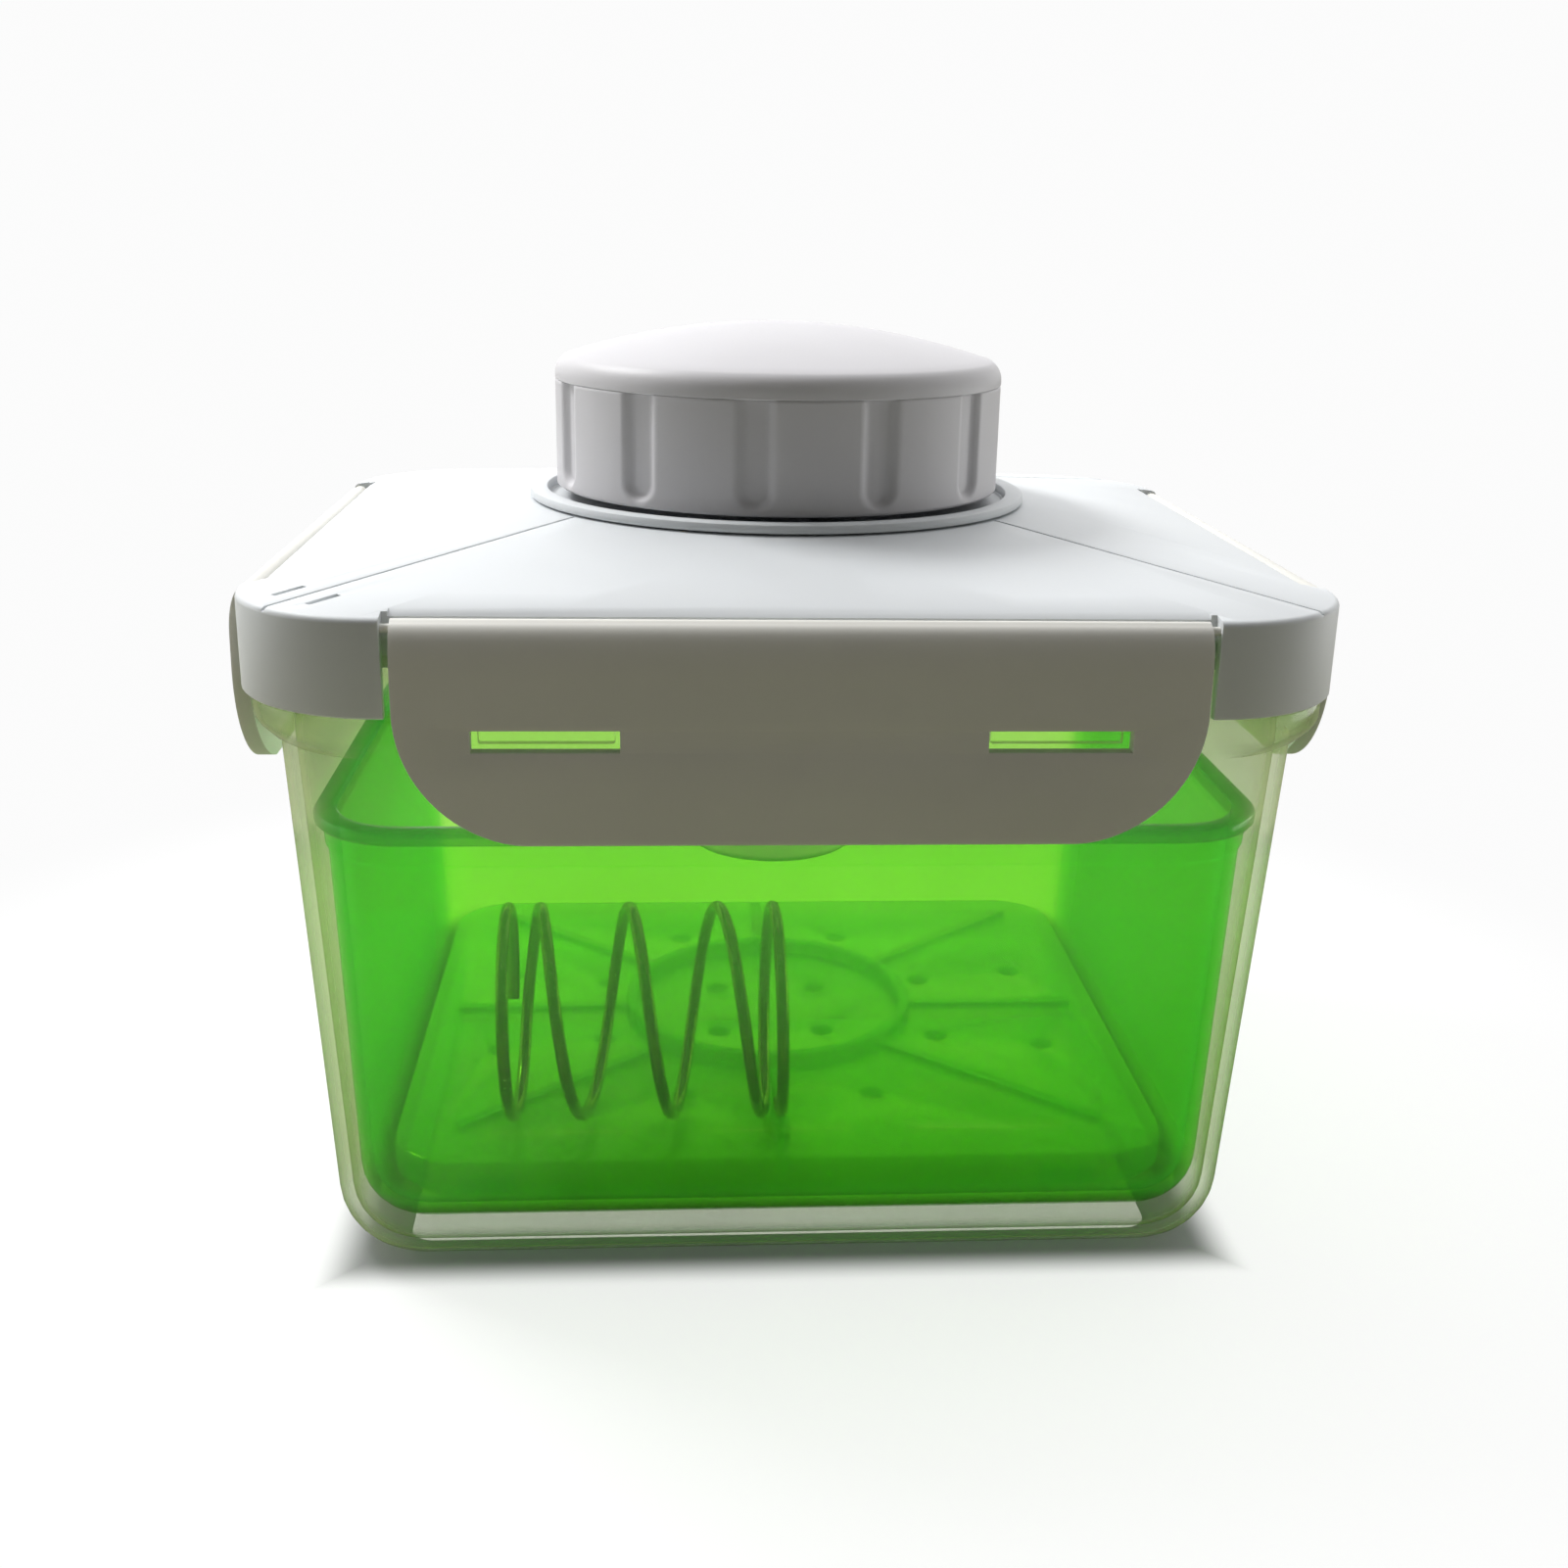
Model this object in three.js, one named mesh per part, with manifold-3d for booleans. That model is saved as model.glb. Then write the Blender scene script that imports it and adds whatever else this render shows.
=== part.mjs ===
// Spring-loaded tofu press: a clear tub, a strainer basket, a press plate, a loose compression
// spring, and a hipped lid with four snap latches and a knob that drives a plunger down.
//
// Frame: +X to the right, +Y to the back, +Z up, millimetres. The origin is the centre of the
// tub's flat base. The lid and everything square is named by its offset: an outline at offset o
// has a half width of o along X and of o - DEPTH_STEP along Y.

import * as THREE from "three";
import { mergeVertices } from "three/addons/utils/BufferGeometryUtils.js";
import Module from "manifold-3d";

const wasm = await Module();
wasm.setup();

// ---------------------------------------------------------------- driving dimensions
const GAP = 0.3;            // clearance between pieces that would touch
const DEPTH_STEP = 8.5;     // the press is this much narrower front to back, on each side
const ROUND_SEGMENTS = 36;  // around a large turned piece
const SMALL_SEGMENTS = 24;  // around a small turned piece
const CORNER_SEGMENTS = 6;  // around each rounded corner

const LID = {
  offset: 85,
  cornerRadius: 24.5,
  skirtZ: 98.3,
  edgeZ: 113,
  edgeRound: 0.4,
  topZ: 119.4,
  wall: 2,
  roof: 2.4,
  seatRadius: 44.5,
  holeRadius: 41.6,
  hingeSpanOffset: 81.85,
};

const GROOVE = { inner: [75.5, 77.0], outer: [81.0, 81.85], wallZ: 104, lipZ: 107, ceilingZ: 110.8 };

const HIP = { startX: 77.8, endX: 35.2, width: 0.6, depth: 0.5 };
const VENT = { length: 5.5, width: 1.3, depth: 0.8, aside: 4.3, alongX: 72.5 };

const LATCH = {
  hingeOffset: 83.6,
  hingeZ: 111.4,
  barrelRadius: 1.4,
  pinRadius: 0.65,
  pinHoleRadius: 0.95,
  innerOffset: 85.1,
  bottomZ: 80,
  cornerRadius: 20,
  sideGap: 1.5,
  slotZ: [94.1, 97.4],
  slotWidth: 21.3,
  slotEndMargin: 10.9,
  slotDepth: 8,
  thickness: 2.3,
  lipThickness: 2.7,
  lipRise: 0.4,
  crownStart: -6.4,         // heights from the hinge axis
  crownBend: 0.2,
  crownBendThickness: 1.8,
  barrelAngle: 0.9,         // where the wall meets the barrel
  innerTop: -1.9,
  pinReach: 2,              // into the lid's ear, and back into the latch
};
const EAR = { width: 3, drop: 1.9, holeDepth: 2.4 };  // the lid's blocks that the latch pins turn in
const SPAN = { front: 60.3, side: 51.8 };  // half width of the gap in the lid's skirt

const TUB = {
  baseX: 75.0,
  baseY: 66.8,
  draft: 0.0526,
  cornerBase: 15,
  cornerGrowth: 0.048,
  wall: 2.2,
  fillet: 11,
  shoulderZ: 91,
  shoulderOffset: 79.4,
  flangeZ: [94.4, 98.0],
  flangeOffset: 83.0,
  flangeCorner: 19.6,
  rimOffset: 80.0,
  rimWall: 2.4,
  rimZ: 108.3,
  lugOffset: 84.7,
  lugZ: [94.6, 96.9],
  lugEndGap: 0.8,
};

const BASKET = {
  baseX: 71.46,
  baseY: 63.16,
  draft: 0.0338,
  cornerBase: 12,
  cornerGrowth: 0.028,
  wall: 2,
  fillet: 8.5,
  floorZ: 6,
  footZ: 2.5,
  rimZ: [75.6, 78],
  rimX: 75.8,
  rimY: 67.5,
  rimCorner: 15.5,
};
const FOOT = { alongX: 52, alongY: 44, length: 10, width: 4 };
const FLOOR_SLOT = { columns: [-40, 0, 40], rows: [-32, -16, 0, 16, 32], length: 30, width: 4 };

const PLATE = {
  halfX: 67,
  halfY: 58.5,
  corner: 12,
  chamfer: [2.6, 2.7],
  bottomZ: 8.3,
  topZ: 16.5,
  skin: 2,
};
const PLATE_RIB = { width: 2.2, topZ: 18.0, reachX: 61, reachY: 53, cornerX: 57, cornerY: 49, diagonal: 148 };
const PLATE_RING = { radius: 27, width: 2.2, topZ: 20.5 };
const PLATE_UNDER_RIB = { width: 2, endGap: 1 };
const PLATE_HOLE = { radius: 2.2, places: [[10, 10], [32, 13], [52, 17], [17, 36]] };

const SPRING = { outerRadius: 18.7, wireRadius: 1.05, length: 49.6, centreX: -24.1, centreY: -43.4 };
const SPRING_TURNS = { start: 0.2, open: 2.8, closed: 1, perTurn: 20, sides: 8 };

const BUSHING = {
  rimRadii: [41.2, 44.5],
  rimZ: [119.7, 121.3],
  discZ: [117.0, 119.4],
  discRadius: 41.0,
  boreRadius: 8.2,
  sleeveRadii: [17.5, 21.0],
  sleeveBottomZ: 86,
  keywayRadius: 18.9,
  keywayWidth: 5.2,
};
const LOCKNUT = {
  boreRadius: 21.3,
  hubRadius: 26,
  flangeRadius: 44,
  hubZ: 107,
  flangeZ: [114.3, 116.7],
  notchWidth: 5,
  notchDepth: 3,
};

const PLUNGER = {
  radius: 16.2,
  wall: 2,
  bottomZ: 53.5,
  topZ: 112,
  webZ: [98, 110],
  shoulderRadius: 20.5,
  shoulderZ: [76, 78.5],
  keyRadius: 18.6,
  keyWidth: 4.6,
  keyZ: 100,
  noseChamfer: 1.2,
};

const THREAD = {
  pitch: 6,
  coreRadius: 5.5,
  ridgeCentre: 5.7,
  ridgeRadius: 1.4,
  ridgeClearance: 0.55,
  z: [80, 111],
  topZ: 114,
  tipChamfer: 1,
};
// Both threads are swept from topZ down, so that they are in step.
const THREAD_STEPS = { perTurn: 14, sides: 6 };

const KNOB = {
  radius: 39.6,
  wall: 2.4,
  bottomZ: 121.6,
  fluteBottomZ: 122.9,
  topZ: 140,
  plateZ: 136,
  hubRadius: 13,
  hubZ: 121.0,
  flutes: 12,
  fluteWidth: 5,
  fluteDepth: 1,
  fluteStart: -8.5,         // degrees from the front
  ribWidth: 1.6,
  ribHeight: 9,
};
const CROWN = {
  radius: 39.2,
  bottomZ: 140.3,
  shoulderZ: 141.6,
  edgeRadius: 3.6,
  apexZ: 150,
  skin: 2.4,
};
const SPIGOT = { radii: [30, 32], bottomZ: 138.3 };
const JOURNAL = {
  journalRadius: 7.6,
  collarRadius: 7.1,
  grooveRadius: 5.9,
  ringGrooveZ: [115.1, 116.95],
  sealGrooveZ: [117.35, 119.55],
};
const CLIP = { radii: [6.3, 10], z: [115.4, 116.65], gapAngle: 0.4 };
const SEAL = { ringRadius: 7.15, sectionRadius: 0.8, z: 118.45 };
const WASHER = { radii: [8.4, 13.6], z: [119.7, 120.7] };
const GASKET = { offsets: [77.35, 80.65] };
const DRIVE = { halfSquare: 4.8, z: [120.7, 134] };
const SCREW = {
  shankRadius: 1.9,
  headRadius: 4.3,
  headZ: [140.3, 142.6],
  tipZ: 124,
  socketRadius: 1.9,
  socketDepth: 1.4,
};

// ---------------------------------------------------------------- looks
const plastic = (color, roughness = 0.4) =>
  new THREE.MeshStandardMaterial({ color, roughness, metalness: 0 });
const WHITE = plastic(0xe9edf0);
const FROSTED = new THREE.MeshStandardMaterial({
  color: 0xe6efc4,
  roughness: 0.35,
  transparent: true,
  opacity: 0.45,
});
const GREEN = plastic(0x6fbf2f, 0.3);
const SILICONE = plastic(0xd9ddd8, 0.7);
const RUBBER = plastic(0x202224, 0.7);
const ACETAL = plastic(0xf4f2ea, 0.35);
const STEEL = new THREE.MeshStandardMaterial({ color: 0x8b9096, roughness: 0.3, metalness: 1 });

// ---------------------------------------------------------------- solids
function signedVolume(position, index) {
  const a = new THREE.Vector3();
  const b = new THREE.Vector3();
  const c = new THREE.Vector3();
  let volume = 0;
  for (let i = 0; i < index.length; i += 3) {
    a.fromBufferAttribute(position, index[i]);
    b.fromBufferAttribute(position, index[i + 1]);
    c.fromBufferAttribute(position, index[i + 2]);
    volume += a.dot(b.cross(c)) / 6;
  }
  return volume;
}

// A closed three.js geometry as a solid, with its faces turned outwards.
function solid(geometry) {
  const bare = new THREE.BufferGeometry();
  bare.setAttribute("position", geometry.getAttribute("position"));
  if (geometry.index) bare.setIndex(geometry.index);
  const merged = mergeVertices(bare, 1e-4);
  const triangles = [];
  const source = merged.index.array;
  for (let i = 0; i < source.length; i += 3) {
    const [a, b, c] = [source[i], source[i + 1], source[i + 2]];
    if (a !== b && b !== c && a !== c) triangles.push(a, b, c);
  }
  const position = merged.getAttribute("position");
  if (signedVolume(position, triangles) < 0) {
    for (let i = 0; i < triangles.length; i += 3) {
      [triangles[i + 1], triangles[i + 2]] = [triangles[i + 2], triangles[i + 1]];
    }
  }
  const mesh = new wasm.Mesh({
    numProp: 3,
    vertProperties: Float32Array.from(position.array),
    triVerts: Uint32Array.from(triangles),
  });
  return new wasm.Manifold(mesh);
}

function geometryOf(manifold) {
  const mesh = manifold.getMesh();
  const geometry = new THREE.BufferGeometry();
  geometry.setAttribute("position", new THREE.BufferAttribute(mesh.vertProperties, 3));
  geometry.setIndex(new THREE.BufferAttribute(mesh.triVerts, 1));
  geometry.computeVertexNormals();
  return geometry;
}

const join = (first, ...others) => others.reduce((sum, one) => sum.add(one), first);
const cut = (first, ...others) => others.reduce((rest, one) => rest.subtract(one), first);

// ---------------------------------------------------------------- basic forms
function block([x0, x1], [y0, y1], [z0, z1]) {
  const geometry = new THREE.BoxGeometry(x1 - x0, y1 - y0, z1 - z0);
  geometry.translate((x0 + x1) / 2, (y0 + y1) / 2, (z0 + z1) / 2);
  return solid(geometry);
}

// A turned piece from its half section, as [radius, height] points.
function turned(section, segments = SMALL_SEGMENTS) {
  const closed = section[0][0] > 0 ? [...section, section[0]] : section;
  const points = closed.map(([r, z]) => new THREE.Vector2(r, z));
  return solid(new THREE.LatheGeometry(points, segments).rotateX(Math.PI / 2));
}

function disc(radius, [z0, z1], segments = SMALL_SEGMENTS) {
  return turned([[0, z0], [radius, z0], [radius, z1], [0, z1]], segments);
}

function hollowDisc([inner, outer], [z0, z1], segments = SMALL_SEGMENTS) {
  return turned([[inner, z0], [outer, z0], [outer, z1], [inner, z1]], segments);
}

function prism(shape, [z0, z1], curveSegments = CORNER_SEGMENTS) {
  const settings = { depth: z1 - z0, bevelEnabled: false, curveSegments };
  return solid(new THREE.ExtrudeGeometry(shape, settings).translate(0, 0, z0));
}

// A closed body through a stack of convex rings that all have the same number of points.
function loft(rings) {
  const count = rings[0].length;
  const positions = rings.flat().flatMap((p) => [p.x, p.y, p.z]);
  const index = [];
  for (let ring = 0; ring + 1 < rings.length; ring += 1) {
    for (let i = 0; i < count; i += 1) {
      const a = ring * count + i;
      const b = ring * count + ((i + 1) % count);
      index.push(a, b, b + count, a, b + count, a + count);
    }
  }
  const last = (rings.length - 1) * count;
  for (let i = 1; i + 1 < count; i += 1) {
    index.push(0, i + 1, i, last, last + i, last + i + 1);
  }
  const geometry = new THREE.BufferGeometry();
  geometry.setAttribute("position", new THREE.Float32BufferAttribute(positions, 3));
  geometry.setIndex(index);
  return solid(geometry);
}

// A rounded rectangle, anticlockwise from the middle of the right side's lower corner.
function roundedRing(halfX, halfY, radius, z) {
  const points = [];
  const corners = [[1, 1], [-1, 1], [-1, -1], [1, -1]];
  corners.forEach(([signX, signY], quarter) => {
    for (let i = 0; i <= CORNER_SEGMENTS; i += 1) {
      const angle = (Math.PI / 2) * (quarter + i / CORNER_SEGMENTS);
      const x = signX * (halfX - radius) + radius * Math.cos(angle);
      const y = signY * (halfY - radius) + radius * Math.sin(angle);
      points.push(new THREE.Vector3(x, y, z));
    }
  });
  return points;
}

const offsetRing = (offset, z) =>
  roundedRing(offset, offset - DEPTH_STEP, LID.cornerRadius + offset - LID.offset, z);
const offsetPrism = (offset, [z0, z1]) => loft([offsetRing(offset, z0), offsetRing(offset, z1)]);
const offsetBand = ([inner, outer], [z0, z1]) =>
  cut(offsetPrism(outer, [z0, z1]), offsetPrism(inner, [z0 - 1, z1 + 1]));

// The rounded cup that both the tub and the basket are made from, moved in from its outside.
function cup(form, inset, floorZ, fillet, topZ, filletSteps = 4) {
  const ringAt = (z, extra) =>
    roundedRing(
      form.baseX + form.draft * z - inset - extra,
      form.baseY + form.draft * z - inset - extra,
      form.cornerBase + form.cornerGrowth * z - inset - extra,
      z,
    );
  const rings = [];
  for (let i = 0; i <= filletSteps; i += 1) {
    const angle = (i / filletSteps) * (Math.PI / 2);
    rings.push(ringAt(floorZ + fillet * (1 - Math.cos(angle)), fillet * (1 - Math.sin(angle))));
  }
  rings.push(ringAt(topZ, 0));
  return loft(rings);
}

// ---------------------------------------------------------------- tub
function tub() {
  const { wall, fillet, shoulderZ, shoulderOffset, flangeZ, flangeOffset, flangeCorner } = TUB;
  const { rimOffset, rimWall, rimZ, lugOffset, lugZ, lugEndGap } = TUB;
  const body = cup(TUB, 0, 0, fillet, shoulderZ + 1);
  const flangeRing = (offset, z) =>
    roundedRing(offset, offset - DEPTH_STEP, flangeCorner + offset - flangeOffset, z);
  const flange = loft([
    flangeRing(shoulderOffset, shoulderZ),
    flangeRing(flangeOffset, flangeZ[0]),
    flangeRing(flangeOffset, flangeZ[1]),
  ]);
  const rim = offsetPrism(rimOffset, [shoulderZ + 1, rimZ]);
  const lugs = [];
  const halfLug = LATCH.slotWidth / 2 - lugEndGap;
  for (const centre of slotCentres(SPAN.front - LATCH.sideGap)) {
    const reach = lugOffset - DEPTH_STEP;
    lugs.push(block([centre - halfLug, centre + halfLug], [-reach, reach], lugZ));
  }
  for (const centre of slotCentres(SPAN.side - LATCH.sideGap)) {
    lugs.push(block([-lugOffset, lugOffset], [centre - halfLug, centre + halfLug], lugZ));
  }
  const inside = cup(TUB, wall, wall, fillet - wall, shoulderZ + 2);
  const mouth = offsetPrism(rimOffset - rimWall, [shoulderZ + 1, rimZ + 1]);
  return cut(join(body, flange, rim, ...lugs), inside, mouth);
}

// ---------------------------------------------------------------- strainer basket
function strainerBasket() {
  const { wall, fillet, floorZ, footZ, rimZ, rimX, rimY, rimCorner } = BASKET;
  const body = cup(BASKET, 0, floorZ, fillet, rimZ[1] - 1);
  const rim = loft([
    roundedRing(rimX, rimY, rimCorner, rimZ[0]),
    roundedRing(rimX, rimY, rimCorner, rimZ[1]),
  ]);
  const inside = cup(BASKET, wall, floorZ + wall, fillet - wall, rimZ[1] + 1);
  const lying = (x, y, { length, width }, z) =>
    block([x - length / 2, x + length / 2], [y - width / 2, y + width / 2], z);
  const feet = [];
  for (const x of [-FOOT.alongX, FOOT.alongX]) {
    for (const y of [-FOOT.alongY, FOOT.alongY]) {
      feet.push(lying(x, y, FOOT, [footZ, floorZ + wall / 2]));
    }
  }
  const slots = [];
  for (const x of FLOOR_SLOT.columns) {
    for (const y of FLOOR_SLOT.rows) {
      slots.push(lying(x, y, FLOOR_SLOT, [floorZ - 1, floorZ + wall + 1]));
    }
  }
  return cut(join(body, rim, ...feet), inside, ...slots);
}

// ---------------------------------------------------------------- press plate
function pressPlate() {
  const { halfX, halfY, corner, chamfer, bottomZ, topZ, skin } = PLATE;
  const panel = (inset, z0, z1) => {
    const ring = (extra, z) =>
      roundedRing(halfX - inset - extra, halfY - inset - extra, corner - inset - extra, z);
    return loft([ring(chamfer[0], z0), ring(0, bottomZ + chamfer[1]), ring(0, z1)]);
  };
  const shell = cut(panel(0, bottomZ, topZ), panel(skin, bottomZ - 1, topZ - skin));
  const { width, reachX, reachY, cornerX, cornerY, diagonal } = PLATE_RIB;
  const ribZ = [topZ - 1, PLATE_RIB.topZ];
  const ribs = [
    block([-reachX, reachX], [-width / 2, width / 2], ribZ),
    block([-width / 2, width / 2], [-reachY, reachY], ribZ),
  ];
  for (const side of [-1, 1]) {
    const rib = new THREE.BoxGeometry(diagonal, width, ribZ[1] - ribZ[0]);
    rib.rotateZ(side * Math.atan2(cornerY, cornerX)).translate(0, 0, (ribZ[0] + ribZ[1]) / 2);
    ribs.push(solid(rib));
  }
  const ringRadii = [PLATE_RING.radius - PLATE_RING.width / 2, PLATE_RING.radius + PLATE_RING.width / 2];
  const ring = hollowDisc(ringRadii, [topZ - 1, PLATE_RING.topZ], ROUND_SEGMENTS);
  const ringInside = disc(PLATE_RING.radius, [topZ - skin, PLATE_RING.topZ + 1], ROUND_SEGMENTS);
  const ribField = cut(join(...ribs), ringInside);
  const underWidth = [-PLATE_UNDER_RIB.width / 2, PLATE_UNDER_RIB.width / 2];
  const underX = halfX - PLATE_UNDER_RIB.endGap;
  const underY = halfY - PLATE_UNDER_RIB.endGap;
  const underZ = [bottomZ + chamfer[1], topZ - 1];
  const underRibs = [
    block([-underX, underX], underWidth, underZ),
    block(underWidth, [-underY, underY], underZ),
  ];
  const hole = disc(PLATE_HOLE.radius, [topZ - skin - 1, topZ + 1], 8);
  const holes = [];
  for (const x of [-1, 1]) {
    for (const y of [-1, 1]) {
      for (const [alongX, alongY] of PLATE_HOLE.places) {
        holes.push(hole.translate([x * alongX, y * alongY, 0]));
      }
    }
  }
  return cut(join(shell, ribField, ring, ...underRibs), ...holes);
}

// ---------------------------------------------------------------- compression spring
class Coil extends THREE.Curve {
  constructor(radius, riseAt, turns, start = 0) {
    super();
    Object.assign(this, { radius, riseAt, turns, start });
  }

  getPoint(t, target = new THREE.Vector3()) {
    const turn = t * this.turns;
    const angle = (this.start + turn) * 2 * Math.PI;
    return target.set(this.radius * Math.cos(angle), this.radius * Math.sin(angle), this.riseAt(turn));
  }
}

function sweptWire(curve, wireRadius, sides, steps) {
  const shape = new THREE.Shape();
  for (let i = 0; i < sides; i += 1) {
    const angle = (i / sides) * 2 * Math.PI;
    const place = [wireRadius * Math.cos(angle), wireRadius * Math.sin(angle)];
    if (i === 0) shape.moveTo(...place);
    else shape.lineTo(...place);
  }
  shape.closePath();
  return solid(new THREE.ExtrudeGeometry(shape, { extrudePath: curve, steps }));
}

// The coil stands on Z here. Its end turns close to within GAP of each other.
function compressionSpring() {
  const { outerRadius, wireRadius, length } = SPRING;
  const { start: firstTurn, open, closed, perTurn, sides } = SPRING_TURNS;
  const closedPitch = 2 * wireRadius + GAP;
  const openPitch = (length - 2 * wireRadius - 2 * closed * closedPitch) / open;
  const turns = open + 2 * closed;
  const riseAt = (turn) => {
    const first = Math.min(turn, closed) * closedPitch;
    const middle = Math.min(Math.max(turn - closed, 0), open) * openPitch;
    const last = Math.max(turn - closed - open, 0) * closedPitch;
    return first + middle + last - length / 2 + wireRadius;
  };
  const coil = new Coil(outerRadius - wireRadius, riseAt, turns, firstTurn);
  return sweptWire(coil, wireRadius, sides, Math.round(turns * perTurn));
}

// ---------------------------------------------------------------- lid shell
// The straight sides get extra points, so that the roof can bend from them to the round seat.
function roofOutline(offset, z, straightSteps = 3) {
  const corners = offsetRing(offset, z);
  const points = [];
  corners.forEach((point, i) => {
    points.push(point);
    if (i % (CORNER_SEGMENTS + 1) !== CORNER_SEGMENTS) return;
    const next = corners[(i + 1) % corners.length];
    for (let step = 1; step < straightSteps; step += 1) {
      points.push(point.clone().lerp(next, step / straightSteps));
    }
  });
  return points;
}

// The round seat in the middle of the roof, point for point with the outline. The middle of
// each corner meets the seat where a hip line, at 45 degrees in plan, runs into it.
function seatOutline(outline, z) {
  const hipAngle = Math.atan2(HIP.endX - DEPTH_STEP, HIP.endX);
  return outline.map((point) => {
    const side = Math.min(1, Math.abs(point.x) / HIP.startX);
    const front = Math.min(1, Math.abs(point.y) / (HIP.startX - DEPTH_STEP));
    const angle = side === 1 ? hipAngle * front : Math.PI / 2 - (Math.PI / 2 - hipAngle) * side;
    const x = Math.sign(point.x) * LID.seatRadius * Math.cos(angle);
    const y = Math.sign(point.y) * LID.seatRadius * Math.sin(angle);
    return new THREE.Vector3(x, y, z);
  });
}

// A straight bar from one point to another, width across, standing from low to high over the line.
function bar(from, to, width, [low, high]) {
  const along = to.clone().sub(from);
  const length = along.length();
  along.normalize();
  const across = new THREE.Vector3(-along.y, along.x, 0).normalize();
  const up = along.clone().cross(across);
  const middle = from.clone().lerp(to, 0.5).addScaledVector(up, (low + high) / 2);
  const frame = new THREE.Matrix4().makeBasis(along, across, up).setPosition(middle);
  return solid(new THREE.BoxGeometry(length, width, high - low).applyMatrix4(frame));
}

function hipGrooves() {
  const grooves = [];
  for (const x of [-1, 1]) {
    for (const y of [-1, 1]) {
      const outer = new THREE.Vector3(x * HIP.startX, y * (HIP.startX - DEPTH_STEP), LID.edgeZ);
      const inner = new THREE.Vector3(x * HIP.endX, y * (HIP.endX - DEPTH_STEP), LID.topZ);
      grooves.push(bar(outer, inner, HIP.width, [-HIP.depth, 2]));
    }
  }
  return grooves;
}

// Two short blind slots beside the left front hip, near the corner.
function cornerSlots() {
  const slope = (LID.topZ - LID.edgeZ) / (HIP.startX - HIP.endX);
  const along = VENT.length / 2 * Math.SQRT1_2;
  return [-1, 1].map((side) => {
    const shift = side * VENT.aside * Math.SQRT1_2;
    const x = -VENT.alongX - shift;
    const y = -(VENT.alongX - DEPTH_STEP) + shift;
    const z = LID.edgeZ + slope * (HIP.startX - VENT.alongX);
    const outer = new THREE.Vector3(x - along, y - along, z - slope * along);
    const inner = new THREE.Vector3(x + along, y + along, z + slope * along);
    return bar(outer, inner, VENT.width, [-VENT.depth, 2]);
  });
}

// A round pin or hole along X or Y.
function crossRod(axis, radius, [start, end], [across, z]) {
  const rod = new THREE.CylinderGeometry(radius, radius, end - start, 12);
  if (axis === "x") rod.rotateZ(Math.PI / 2).translate((start + end) / 2, across, z);
  else rod.translate(across, (start + end) / 2, z);
  return solid(rod);
}

const ordered = (values, sign) => values.map((v) => v * sign).sort((a, b) => a - b);

// The ears on both ends of each gap in the skirt, and the blind holes that the latch pins sit in.
function hingeEars() {
  const ears = [];
  const holes = [];
  const earZ = [LATCH.hingeZ - EAR.drop, LID.edgeZ + 1];
  const reach = [LID.hingeSpanOffset, LID.offset + 1];
  const frontReach = reach.map((v) => v - DEPTH_STEP);
  for (const end of [-1, 1]) {
    const frontSpan = ordered([SPAN.front, SPAN.front + EAR.width], end);
    const sideSpan = ordered([SPAN.side, SPAN.side + EAR.width], end);
    const frontHole = ordered([SPAN.front - 1, SPAN.front + EAR.holeDepth], end);
    const sideHole = ordered([SPAN.side - 1, SPAN.side + EAR.holeDepth], end);
    for (const face of [-1, 1]) {
      ears.push(block(frontSpan, ordered(frontReach, face), earZ));
      ears.push(block(ordered(reach, face), sideSpan, earZ));
      const frontAxis = [(LATCH.hingeOffset - DEPTH_STEP) * face, LATCH.hingeZ];
      const sideAxis = [LATCH.hingeOffset * face, LATCH.hingeZ];
      holes.push(crossRod("x", LATCH.pinHoleRadius, frontHole, frontAxis));
      holes.push(crossRod("y", LATCH.pinHoleRadius, sideHole, sideAxis));
    }
  }
  return { ears, holes };
}

function lidShell() {
  const { offset, skirtZ, edgeZ, edgeRound, topZ, wall, roof, hingeSpanOffset } = LID;
  const seat = roofOutline(offset, 0);
  const outside = loft([
    roofOutline(offset, skirtZ),
    roofOutline(offset, edgeZ - edgeRound),
    roofOutline(offset - edgeRound, edgeZ),
    seatOutline(seat, topZ),
  ]);
  const inside = loft([
    roofOutline(offset - wall, skirtZ - 1),
    roofOutline(offset - wall, edgeZ - roof),
    seatOutline(seat, topZ - roof),
  ]);
  const underRoof = topZ - 1;
  const grooveWalls = [
    offsetBand(GROOVE.inner, [GROOVE.wallZ, underRoof]),
    offsetBand(GROOVE.outer, [GROOVE.lipZ, underRoof]),
    offsetBand([GROOVE.inner[0], GROOVE.outer[1]], [GROOVE.ceilingZ, underRoof]),
  ];
  const { ears, holes } = hingeEars();
  const added = join(...grooveWalls, ...ears).intersect(outside);
  const far = offset + 5;
  const spanZ = [skirtZ - 2, topZ];
  const depth = hingeSpanOffset - DEPTH_STEP;
  const spans = [
    block([-SPAN.front, SPAN.front], [-far, -depth], spanZ),
    block([-SPAN.front, SPAN.front], [depth, far], spanZ),
    block([-far, -hingeSpanOffset], [-SPAN.side, SPAN.side], spanZ),
    block([hingeSpanOffset, far], [-SPAN.side, SPAN.side], spanZ),
  ];
  const hole = disc(LID.holeRadius, [topZ - roof - 1, topZ + 1], ROUND_SEGMENTS);
  const shell = join(cut(outside, inside), added);
  return cut(shell, ...spans, ...holes, hole, ...hipGrooves(), ...cornerSlots());
}

function lidGasket() {
  return offsetBand(GASKET.offsets, [TUB.rimZ + GAP, GROOVE.ceilingZ - GAP]);
}

// ---------------------------------------------------------------- snap latches
function slotCentres(halfLength) {
  const centre = halfLength - LATCH.slotEndMargin - LATCH.slotWidth / 2;
  return [-centre, centre];
}

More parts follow.
